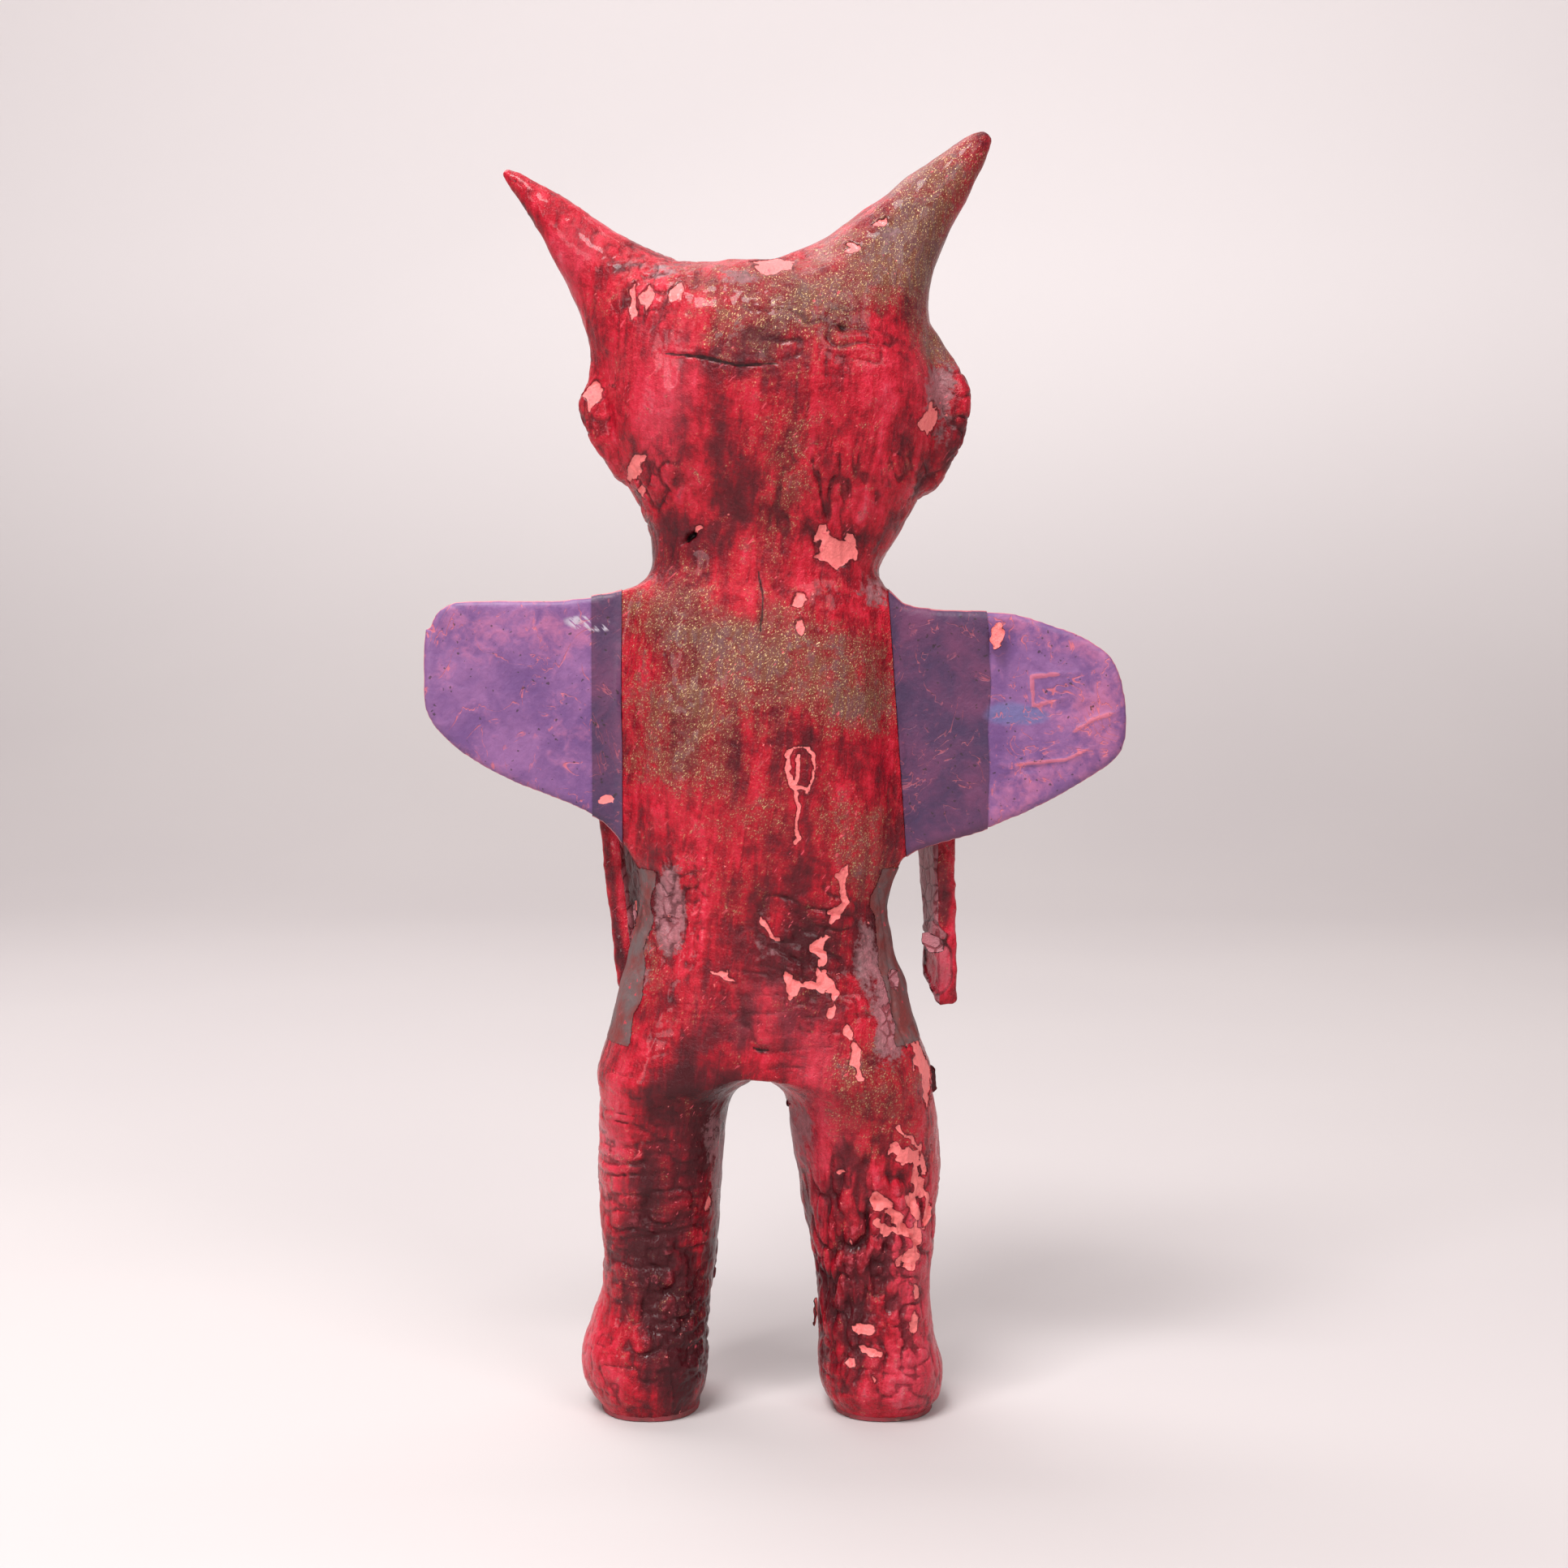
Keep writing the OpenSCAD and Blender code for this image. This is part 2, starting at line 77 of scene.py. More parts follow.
def node_points(name):
    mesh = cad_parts[name].data
    points = np.empty(len(mesh.vertices) * 3, np.float32)
    mesh.vertices.foreach_get("co", points)
    return points.reshape(-1, 3).astype(float) / MM


def node_tree(*names):
    """One ray and distance tree over these CAD nodes, in millimetres."""
    points, faces, base = [], [], 0
    for name in names:
        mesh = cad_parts[name].data
        points.append(node_points(name))
        faces += [[base + v for v in p.vertices] for p in mesh.polygons]
        base += len(mesh.vertices)
    return BVHTree.FromPolygons(np.concatenate(points).tolist(), faces)


def node_box(name):
    low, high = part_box(name)
    return np.array(low) / MM, np.array(high) / MM


spine_low, spine_high = node_box("spine_reed")
SPINE_X, SPINE_Y = ((spine_low + spine_high) / 2)[:2]
NECK_Z = node_box("head_back_shell")[0][2]
CROWN_Z = node_box("head_back_shell")[1][2]
CROTCH_Z = node_box("torso_back_shell")[0][2]
CROTCH_X = (node_box("leg_shell_left")[1][0] + node_box("leg_shell_right")[0][0]) / 2
wing_low, wing_high = node_box("wing_left")
WING_Y = (wing_low[1] + wing_high[1]) / 2
STRIP_LEFT_X = node_box("wing_strip_left")[0][0]
STRIP_RIGHT_X = node_box("wing_strip_right")[1][0]
SEAM_LOW, SEAM_HIGH = (corner[2] for corner in node_box("seam_strip_left"))


def section_rows(names, low, high, from_left=-150.0, from_right=150.0):
    """Rows of height, middle, half width, depth behind and depth in front, found with rays."""
    tree = node_tree(*names)
    rows = []
    y = SPINE_Y - 1.5
    for z in np.arange(low + 0.2, high, 1.2):
        left = tree.ray_cast((from_left, y, z), (1, 0, 0))[0]
        right = tree.ray_cast((from_right, y, z), (-1, 0, 0))[0]
        if left is None or right is None:
            continue
        middle = (left[0] + right[0]) / 2
        back = tree.ray_cast((middle, -150, z), (0, 1, 0))[0]
        front = tree.ray_cast((middle, 150, z), (0, -1, 0))[0]
        if back is None or front is None:
            continue
        rows.append((z, middle, (right[0] - left[0]) / 2, SPINE_Y - back[1], front[1] - SPINE_Y))
    return np.array(rows)


# ---------------- distance fields on a grid


class Grid:
    """A block of space in cells, on which distance fields are worked out, in millimetres."""

    def __init__(self, low, high, cell):
        self.cell = cell
        self.low = np.array(low) - 4 * cell
        self.count = np.ceil((np.array(high) + 4 * cell - self.low) / cell).astype(int) + 1
        self.axes = [self.low[i] + cell * np.arange(self.count[i]) for i in range(3)]

    def stack_field(self, rows, bottom, top):
        """Distance to a stack of level superellipse sections, cut flat at its bottom and top."""
        ax, ay, az = self.axes
        field = np.full(tuple(self.count), FAR, np.float32)
        for k, z in enumerate(az):
            if not bottom - FAR < z < top + FAR:
                continue
            x0, half, back, front = (np.interp(z, rows[:, 0], rows[:, i]) for i in range(1, 5))
            x = (ax - x0)[:, None]
            y = (ay - SPINE_Y)[None, :]
            depth = np.where(y < 0, back, front)
            r = (np.abs(x / half) ** SQUARENESS + np.abs(y / depth) ** SQUARENESS) ** (1 / SQUARENESS)
            reach = np.sqrt(x * x + y * y)
            wall = reach * (1 - 1 / np.maximum(r, 1e-3))
            field[:, :, k] = np.maximum(wall, max(bottom - z, z - top))
        slope = np.sqrt(sum(g * g for g in np.gradient(field, self.cell)))
        return np.clip(field / np.clip(slope, 0.7, 3.0), -FAR, FAR)

    def mesh_field(self, name, margin):
        """Distance to a closed CAD node, worked out near it only."""
        tree = node_tree(name)
        low, high = node_box(name)
        ax, ay, az = self.axes
        field = np.full(tuple(self.count), FAR, np.float32)
        first = np.maximum(((low - margin - self.low) / self.cell).astype(int), 0)
        last = np.minimum(((high + margin - self.low) / self.cell).astype(int) + 2, self.count)
        for i in range(first[0], last[0]):
            for j in range(first[1], last[1]):
                walls = wall_heights(tree, ax[i], ay[j], low[2] - 1)
                within = np.searchsorted(walls, az[first[2] : last[2]]) % 2 == 1
                for k in range(first[2], last[2]):
                    distance = tree.find_nearest((ax[i], ay[j], az[k]), margin)[3]
                    if distance is not None:
                        field[i, j, k] = -distance if within[k - first[2]] else distance
        return field

    def sample(self, field, points):
        """Trilinear value of a field at points."""
        place = (points - self.low) / self.cell
        cell = np.clip(place.astype(int), 0, self.count - 2)
        i, j, k = cell.T
        return blend_corners(place - cell, lambda x, y, z: field[i + x, j + y, k + z])

    def surface(self, field):
        """Points and quads of the zero surface of a field."""
        inside = field < 0
        n = np.array(field.shape) - 1
        part = [inside[x : n[0] + x, y : n[1] + y, z : n[2] + z] for x, y, z in CORNERS]
        filled = sum(p.astype(np.int8) for p in part)
        active = (filled > 0) & (filled < 8)
        cells = np.argwhere(active)
        number = np.full(active.shape, -1, np.int64)
        number[active] = np.arange(len(cells))
        value = [field[cells[:, 0] + x, cells[:, 1] + y, cells[:, 2] + z] for x, y, z in CORNERS]
        total = np.zeros((len(cells), 3))
        count = np.zeros(len(cells))
        for a in range(8):
            for bit in (1, 2, 4):
                if a & bit:
                    continue
                b = a | bit
                crosses = (value[a] < 0) != (value[b] < 0)
                t = np.where(crosses, value[a] / np.where(crosses, value[a] - value[b], 1), 0)
                start, end = np.array(CORNERS[a], float), np.array(CORNERS[b], float)
                total += np.where(crosses[:, None], start + t[:, None] * (end - start), 0)
                count += crosses
        points = self.low + self.cell * (cells + total / count[:, None])
        return points, self.surface_quads(inside, number, n)

    def surface_quads(self, inside, number, n):
        """One quad round each grid edge that the surface crosses, facing outwards."""
        quads = []
        for axis in range(3):
            u, v = (axis + 1) % 3, (axis + 2) % 3
            edge = inside != np.roll(inside, -1, axis)
            edge[tuple(-1 if i == axis else slice(None) for i in range(3))] = False
            at = np.argwhere(edge)
            at = at[(at[:, u] > 0) & (at[:, v] > 0) & (at[:, u] < n[u]) & (at[:, v] < n[v])]
            step_u, step_v = np.eye(3, dtype=int)[u], np.eye(3, dtype=int)[v]
            ring = [at - step_u - step_v, at - step_v, at, at - step_u]
            quad = np.stack([number[tuple(c.T)] for c in ring], 1)
            solid = inside[tuple(at.T)]
            quads.append(np.where(solid[:, None], quad, quad[:, ::-1]))
        return np.concatenate(quads)


def wall_heights(tree, x, y, start):
    """Heights at which a rising line passes through a mesh's walls."""
    heights = []
    hit = tree.ray_cast((x, y, start), (0, 0, 1))[0]
    while hit is not None:
        heights.append(hit[2])
        hit = tree.ray_cast((x, y, hit[2] + 1e-3), (0, 0, 1))[0]
    return heights


def blend_corners(f, value_at):
    """Mixes the values at a cell's eight corners by the place f inside it."""
    value = 0
    for x, y, z in CORNERS:
        weight = (
            (f[:, 0] if x else 1 - f[:, 0])
            * (f[:, 1] if y else 1 - f[:, 1])
            * (f[:, 2] if z else 1 - f[:, 2])
        )
        value = value + weight * value_at(x, y, z)
    return value


def soften(field):
    for axis in range(3):
        field = (np.roll(field, 1, axis) + 2 * field + np.roll(field, -1, axis)) / 4
    return field


def join(a, b, radius):
    """Union of two fields with a fillet of about this radius."""
    mix = np.maximum(radius - np.abs(a - b), 0) / radius
    return np.minimum(a, b) - mix * mix * radius / 4


# ---------------- small numeric helpers


def lattice(ix, iy, iz, seed):
    h = ix.astype(np.uint32) * np.uint32(374761393) + iy.astype(np.uint32) * np.uint32(668265263)
    h = h + iz.astype(np.uint32) * np.uint32(2246822519) + np.uint32(seed * 7919)
    h = (h ^ (h >> np.uint32(13))) * np.uint32(1274126177)
    h = h ^ (h >> np.uint32(16))
    return h.astype(np.float64) / 2**31 - 1


def noise(points, size, seed=0):
    """Smooth noise from -1 to 1; size is its grain in millimetres, one value or one per axis."""
    p = points / np.array(size, float)
    i = np.floor(p).astype(np.int64)
    f = p - i
    f = f * f * f * (f * (6 * f - 15) + 10)
    i, j, k = i.T
    return blend_corners(f, lambda x, y, z: lattice(i + x, j + y, k + z, seed))


def ridges(points, size, seed=0):
    """Sharp crests from 0 to 1."""
    return (1 - np.abs(noise(points, size, seed)) * 1.6).clip(0, 1) ** 2


def smoothstep(low, high, value):
    t = np.clip((value - low) / (high - low), 0, 1)
    return t * t * (3 - 2 * t)


def across_and_along(at, x, z, rx, rz, turn=0.0):
    """Places round the middle of a turned ellipse seen from behind, in its half width and height."""
    a = math.radians(turn)
    dx, dz = at[:, 0] - x, at[:, 2] - z
    return (dx * math.cos(a) + dz * math.sin(a)) / rx, (dz * math.cos(a) - dx * math.sin(a)) / rz


def spot(at, *ellipse):
    """1 at the middle of an ellipse, falling to 0 past its edge."""
    u, v = across_and_along(at, *ellipse)
    return np.exp(-0.7 * (u * u + v * v) ** 1.5)


def polyline_distance(points, line):
    """Distance in X and Z to a line of (x, z) points, and how far along it from 0 to 1."""
    best = np.full(len(points), 1e9)
    along = np.zeros(len(points))
    p = points[:, [0, 2]]
    for n, (a, b) in enumerate(zip(line, line[1:])):
        a, b = np.array(a), np.array(b)
        t = np.clip(((p - a) @ (b - a)) / ((b - a) @ (b - a)), 0, 1)
        d = np.linalg.norm(p - a - t[:, None] * (b - a), axis=1)
        closer = d < best
        best = np.where(closer, d, best)
        along = np.where(closer, (n + t) / (len(line) - 1), along)
    return best, along


def face_normals(points, quads):
    return np.cross(points[quads[:, 2]] - points[quads[:, 0]], points[quads[:, 3]] - points[quads[:, 1]])


def point_normals(points, quads):
    normals = np.zeros_like(points)
    faces = face_normals(points, quads)
    for c in range(4):
        np.add.at(normals, quads[:, c], faces)
    return normals / np.maximum(np.linalg.norm(normals, axis=1), 1e-12)[:, None]


def relax(points, quads, strength, passes):
    """Evens a surface out by moving each point towards its neighbours."""
    a = quads.ravel()
    b = np.roll(quads, -1, axis=1).ravel()
    number = np.bincount(a, minlength=len(points)) + np.bincount(b, minlength=len(points))
    for _ in range(passes):
        total = np.zeros_like(points)
        np.add.at(total, a, points[b])
        np.add.at(total, b, points[a])
        points = points + strength * (total / np.maximum(number, 1)[:, None] - points)
    return points


def add_object(name, data):
    made = bpy.data.objects.new(name, data)
    bpy.context.scene.collection.objects.link(made)
    return made


def refine(points, quads):
    """One Catmull-Clark subdivision."""
    mesh = bpy.data.meshes.new("coarse")
    mesh.from_pydata(points.tolist(), [], quads.tolist())
    coarse = add_object("coarse", mesh)
    modifier = coarse.modifiers.new("subdivide", "SUBSURF")
    modifier.levels = 1
    modifier.render_levels = 1
    fine = coarse.evaluated_get(bpy.context.evaluated_depsgraph_get()).to_mesh()
    co = np.empty(len(fine.vertices) * 3, np.float32)
    fine.vertices.foreach_get("co", co)
    index = np.empty(len(fine.loops), np.int32)
    fine.loops.foreach_get("vertex_index", index)
    bpy.data.objects.remove(coarse)
    bpy.data.meshes.remove(mesh)
    return co.reshape(-1, 3).astype(float), index.reshape(-1, 4).astype(np.int64)


# ---------------- the figure's one continuous surface

trunk_rows = section_rows(
    ["torso_back_shell", "torso_front_shell", "head_back_shell", "head_front_shell"], CROTCH_Z, CROWN_Z
)
left_rows = section_rows(["leg_shell_left"], FOOT_CLEAR + 1, CROTCH_Z - 0.3, -150, CROTCH_X)
right_rows = section_rows(["leg_shell_right"], FOOT_CLEAR + 1, CROTCH_Z - 0.3, CROTCH_X, 150)


def sinking(rows):
    """A leg's sections with more on top, which narrow so that they sink into the trunk."""
    rise = np.array([5.0, 10.0, 15.0, 20.0])[:, None]
    return np.concatenate([rows, rows[-1] + rise * [1, 0, -0.34, -0.3, -0.3]])


body_grid = Grid(np.array(cad_bounds[0]) / MM, np.array(cad_bounds[1]) / MM, CELL)
fields = {
    "trunk": body_grid.stack_field(trunk_rows, CROTCH_Z, CROWN_Z),
    "leg_left": body_grid.stack_field(sinking(left_rows), FOOT_CLEAR, CROTCH_Z + 18),
    "leg_right": body_grid.stack_field(sinking(right_rows), FOOT_CLEAR, CROTCH_Z + 18),
}
shape = join(fields["trunk"], np.minimum(fields["leg_left"], fields["leg_right"]), 7)
# How widely each piece flows into the trunk.
FILLETS = {"horn_left": 6, "horn_right": 7, "ear_left": 3, "ear_right": 3, "wing_left": 5, "wing_right": 5}
for node, fillet in FILLETS.items():
    fields[node] = body_grid.mesh_field(node, max(fillet - 1, 5))
    shape = join(shape, fields[node], fillet)
points, quads = body_grid.surface(soften(shape))
points = relax(points, quads, 0.4, 2)
points, quads = refine(points, quads)
normals = point_normals(points, quads)


# ---------------- wear, by place on the figure

# Places are (x, z) in millimetres as seen from behind. A spot is (x, z, half width, half height, turn),
# with the turn in degrees left out where it is 0.
FLAKES = [
    # horns and crown
    (-47.8, 267, 1.9, 1.5, -35), (-30.4, 244.4, 0.9, 3.2, 4), (-27.2, 244.2, 1.0, 2.7, -6),
    (-20.7, 246, 1.9, 1.5, 40), (0, 252.2, 3.8, 1.6, 6), (23.2, 261.4, 1.6, 0.9, 25),
    (17, 255.6, 1.2, 0.7, 25),
    # ears, jaw and neck
    (-40, 225, 2.8, 4.2, -20), (-31.3, 208.3, 1.7, 3.4, -28), (-29.6, 204, 1.0, 2.2, -20),
    (33.5, 218.7, 1.6, 3.2, -25), (-16.4, 195.6, 1.4, 0.7, 30), (13.6, 191, 3.9, 2.9),
    (10.4, 194.6, 1.1, 2.0, 14), (16.6, 193.8, 1.2, 1.5),
    # shoulders and back
    (5.4, 180.5, 1.6, 0.8, 25), (5.9, 175, 0.8, 1.6, -8), (-36.7, 137.2, 2.2, 1.7, 10),
    (32.9, 155.7, 0.7, 0.6), (37.8, 143, 0.8, 0.6), (-28.4, 112, 1.2, 4.4, 10),
    # lower back
    (14.9, 121, 1.1, 2.0, -22), (13.5, 114.3, 2.2, 1.1, 28), (9.8, 106.2, 1.1, 2.6, -30),
    (3.6, 98.4, 1.0, 2.4, 18), (10.6, 97.6, 1.6, 1.4, -12), (-11.2, 100.4, 2.0, 0.7, -15),
    # right leg
    (28.8, 59.4, 1.8, 2.0, 14), (24.0, 49.6, 1.9, 1.4), (20, 21.4, 2.3, 1.2, 4),
    (20.6, 16.6, 1.8, 0.8, -10), (16.8, 13.6, 1.2, 0.7, 10), (31, 28.4, 1.0, 1.6, 8),
    (30.4, 21.6, 1.0, 1.5), (27.6, 35.4, 0.9, 0.7, 20), (14.2, 56.4, 0.9, 0.5, 20),
    (16.6, 40.4, 0.5, 1.1), (21.6, 10.2, 0.9, 0.5),
    # left leg and foot
    (-14.3, 47.8, 0.5, 1.5), (-41.6, 19, 1.0, 1.6, -20),
]
# A peel is a list of (x, z) points and a half width.
PEELS = [
    ([(5.2, 147), (4.4, 141.2), (5.4, 136.8), (4.2, 128.8)], 0.42),
    ([(15.3, 88.2), (17.5, 85.5), (16.7, 81.9), (18.5, 78.3)], 0.75),
    ([(30.8, 86), (32.6, 80), (34, 72)], 1.4),
    ([(10.6, 104.4), (9.6, 100.6), (12.4, 95.8), (12, 91)], 0.8),
    ([(3.6, 95.6), (5.6, 98.6), (12.4, 95.8)], 0.7),
    ([(12.2, 111.4), (15.6, 114.6), (13.8, 121)], 0.6),
    ([(-2.4, 112.6), (-1, 109.4), (0.4, 108.4)], 0.5),
    ([(26, 61.5), (30.4, 60), (31.6, 53), (33.4, 49), (34.2, 44)], 1.0),
    ([(31.6, 53), (30.6, 47), (31.4, 40), (30, 35.6)], 1.1),
    ([(22.6, 50.4), (25.4, 46.4), (28.6, 42.6), (31.2, 41.4)], 1.1),
    ([(21.8, 45), (24.6, 42.6), (28.6, 42.6)], 0.8), ([(27, 66), (31.6, 62.4), (33.6, 56)], 0.5),
    ([(-58.6, 273), (-56.4, 271)], 1.2), ([(47, 282.5), (45.6, 280.6)], 1.3),
]
# A bare outline left where a drop of paint lifted: centre, half width, half height and line width.
BARE_RING = (5.6, 144.6, 2.7, 4.6, 0.33)
CRACKS = {
    "brow": ([(-23, 232.4), (-15, 231.4), (-7.5, 229.5), (0.4, 230)], 0.28),
    "flank": ([(22.7, 118.6), (24.6, 105), (26.1, 91), (28.8, 83.3)], 0.3),
    "slit": ([(-4.6, 84.6), (-2.9, 83.9), (-1.4, 84.1)], 0.3),
    "nape": ([(-3.6, 187), (-2.4, 181), (-3, 174)], 0.16),
}
PIT = (14.4, 237.8, 1.2, 1.2)
TEAR = (-18.4, 193.8, 1.7, 0.7, 38)

# Wrinkled places: a spot, then the grain of its folds across, deep and along, and their height.
WRINKLES = [
    ((-32, 52, 8, 24), (9, 9, 2.0), 0.42), ((-25, 36, 9, 26), (5, 6, 3.6), 0.5),
    ((-19, 40, 4, 20), (6, 6, 2.2), 0.35), ((-26, 26, 9, 11), (2.6, 4, 7), 0.6),
    ((-19, 20, 5, 12, 20), (5, 4, 2.6), 0.5), ((19, 44, 11, 16), (3.0, 5, 11), 1.0),
    ((14, 28, 7, 14), (2.4, 4, 8), 0.8), ((26, 24, 6, 14), (4, 4, 3), 0.7),
    ((28, 46, 7, 12, 12), (3.2, 4, 6), 0.9), ((11, 201, 12, 11), (2.2, 4, 11), 0.55),
    ((-27, 204, 6, 9, -25), (2.4, 4, 5), 0.5), ((31, 205, 6, 9, 20), (2.6, 4, 5), 0.4),
    ((6, 108, 12, 12, -20), (6, 4, 3.0), 0.55), ((-21, 114, 6, 13), (3.0, 4, 3.0), 0.45),
    ((-27, 248, 9, 9), (3, 4, 4), 0.35), ((8, 236, 22, 8), (6, 6, 3.4), 0.3),
    ((-28, 11, 16, 10), (4, 4, 3.2), 0.35), ((24, 11, 15, 10), (4, 4, 3.2), 0.35),
    ((66, 160, 9, 9, 32), (2.2, 4, 8), 0.35), ((54, 143, 9, 4, 18), (8, 4, 2.0), 0.3),
    ((41, 219, 5, 14), (3, 4, 4), 0.4), ((-40, 219, 5, 12), (3, 4, 4), 0.3),
    ((0, 88, 24, 10, 8), (10, 6, 3.2), 0.25),
]

# Sharp creases in the right wing's card, as lines of (x, z) points.
CREASES = [
    [(67, 165), (56, 164), (56.4, 157.6), (63.6, 159.4)],
    [(64.4, 151.4), (69.4, 154.6), (75.6, 156.6)],
    [(52, 144.6), (63.4, 145.8), (69.4, 148.6)],
]

# Paint zones, as a strength and then its spot.
GOLD = [
    (1.0, 22, 252, 20, 9, 15), (1.1, 34, 268, 7, 17, -35), (0.7, 36.6, 235, 4, 4), (0.75, 0, 240, 15, 9),
    (0.55, 2, 208, 7, 16), (0.8, 34, 240, 6, 12), (1.0, -20, 176, 15, 6, -12), (1.1, 2, 166, 26, 10),
    (1.0, -20, 151, 11, 10), (0.45, -3, 135, 16, 6), (0.8, 21, 125, 7, 12, 15), (0.8, 20, 156, 9, 6),
    (0.3, -8, 118, 7, 10), (0.7, 21, 76, 9, 14), (0.35, -31, 98, 6, 12), (0.45, -14, 251, 10, 5),
    (0.45, -20, 186, 8, 5),
]
DARK = [
    (0.8, 5, 108, 12, 18), (0.9, -21, 42, 9, 30), (0.8, -29, 40, 5, 18), (0.8, -18, 14, 8, 12),
    (0.7, 17, 38, 9, 18), (0.5, 13, 20, 8, 12), (0.7, -21, 193, 8, 6), (0.45, -10, 212, 5, 20),
    (0.6, -6, 232, 12, 5), (0.7, -14, 70, 9, 12, 20), (0.5, 18, 188, 6, 6), (0.5, 40, 212, 6, 10),
    (0.5, -27, 118, 4, 16), (0.5, 15, 240, 4, 4), (0.35, -12, 92, 14, 6), (0.45, -20, 78, 12, 8),
    (0.45, -2, 90, 16, 4, 12), (0.35, 0, 148, 14, 7), (1.0, 2.5, 240, 2.4, 7, -35), (0.5, 8, 101, 9, 9),
    (0.4, -31, 230, 3, 9),
]
GREY = [
    (0.45, 22, 257, 9, 3, 32), (0.4, 41, 276, 4, 3, 50), (0.7, -25, 251, 5, 2.6, -10),
    (0.7, 36, 227, 5, 6), (0.5, 35, 216, 5, 6), (0.65, -11.5, 58, 4, 18), (0.6, 5.5, 62, 4, 16),
    (0.6, 22, 183, 5, 5), (0.5, -8, 236, 8, 5), (0.5, 27, 95, 3, 16), (0.35, -6, 104, 8, 6),
    (0.65, -8, 248.5, 6, 2.6, -8), (1.0, -22.4, 114, 3.6, 11), (0.6, 21, 102, 4, 16, 8),
    (0.4, 24.6, 88, 3, 12, -16), (0.5, -29, 103, 2.4, 12), (0.4, -30.5, 62, 3, 5),
]
BRIGHT = [
    (0.7, -44, 256, 7, 16, -35), (0.5, 8, 44, 4, 22), (0.6, 26, 40, 8, 14), (0.5, -24, 232, 10, 16),
    (0.45, 18, 222, 16, 18), (0.5, -22, 214, 8, 14), (0.5, 14, 188, 10, 5), (0.4, -12, 96, 14, 14),
    (0.5, 6, 88, 14, 10), (0.6, 12, 66, 8, 18, 10), (0.7, -35, 66, 5, 26), (0.6, 33, 26, 6, 26),
    (0.6, -38, 12, 7, 10), (0.7, 26, 9, 14, 10), (0.5, 34, 232, 5, 16),
]
# Smears on the wings, seen from behind.
WING_PINK = [
    (0.55, -52, 174, 12, 5, -8), (0.3, -70, 172, 6, 8), (0.3, -45, 152, 6, 6), (0.6, 62, 173, 12, 5, -15),
    (0.45, 66, 158, 9, 4, 20), (0.6, 56, 142, 10, 5, 20), (0.5, 52, 130, 10, 6), (0.5, 72, 148, 6, 14),
    (0.5, -62, 140, 16, 5, -35),
]
WING_BLUE = [(0.85, 51, 156, 6, 3), (0.6, 58, 155, 4, 2), (0.25, -58, 152, 10, 10)]
WING_SILVER = [(0.9, -40, 175.4, 6, 1.6, -8)]


def zone(spots, at, seed):
    """Strength of a paint zone, with ragged edges."""
    total = sum(strength * spot(at, *place) for strength, *place in spots)
    return total + 0.16 * noise(at, 9, seed) + 0.1 * noise(at, 3.5, seed + 1) - 0.06


def spot_distance(at, x, z, rx, rz, turn=0.0):
    """About how far a point is outside an ellipse, in millimetres."""
    u, v = across_and_along(at, x, z, rx, rz, turn)
    return (np.sqrt(u * u + v * v) - 1) * min(rx, rz)


def torn_distance(at, x, z, rx, rz, turn=0.0):
    """About how far a point is outside a torn, cornered chip of this size."""
    rng = np.random.default_rng(int(abs(x * 37 + z * 11)))
    u, v = across_and_along(at, x, z, rx, rz, turn)
    sides = np.linspace(0, 2 * math.pi, 6)[:-1] + rng.uniform(-0.5, 0.5, 5)
    reach = rng.uniform(0.75, 1.15, 5)
    outside = [u * math.cos(side) + v * math.sin(side) - r for side, r in zip(sides, reach)]
    return np.max(outside, axis=0) * min(rx, rz)


def front_flakes():
    """Flakes on the side that faces away, scattered by a fixed seed."""
    rng = np.random.default_rng(7)
    spots = []
    for _ in range(46):
        z = rng.uniform(6, 250)
        reach = 32 if z > CROTCH_Z else 38
        size = rng.uniform(0.7, 2.4)
        x = rng.uniform(-reach, reach)
        spots.append((x, z, size, size * rng.uniform(0.5, 1.6), rng.uniform(-60, 60)))
    return spots


def flake_distance(at, facing_back):
    """Distance in millimetres outside the nearest place where the paint has come off."""
    bend = [0.9 * noise(at, 2.6, 31 + n) + 0.35 * noise(at, 0.9, 35 + n) for n in range(3)]
    torn = at + np.stack(bend, 1)
    back = np.full(len(at), 9.0)
    for place in FLAKES:
        back = np.minimum(back, torn_distance(torn, *place))
    for line, width in PEELS:
        ragged = width * (1 + 0.9 * noise(at, 2.0, 39) + 0.5 * noise(at, 0.8, 38))
        back = np.minimum(back, polyline_distance(torn, line)[0] - ragged)
    x, z, rx, rz, width = BARE_RING
    ring = np.abs(spot_distance(torn, x, z, rx, rz)) - width * (1 + 0.7 * noise(at, 2.2, 30))
    back = np.minimum(back, ring)
    # Flakes narrow as they run round the side.
    back = back + 0.3 * np.maximum(0, at[:, 1] - SPINE_Y + 9)
    front = np.full(len(at), 9.0)
    for place in front_flakes():
        front = np.minimum(front, torn_distance(torn, *place))
    return np.where(facing_back > 0.5, back, front)


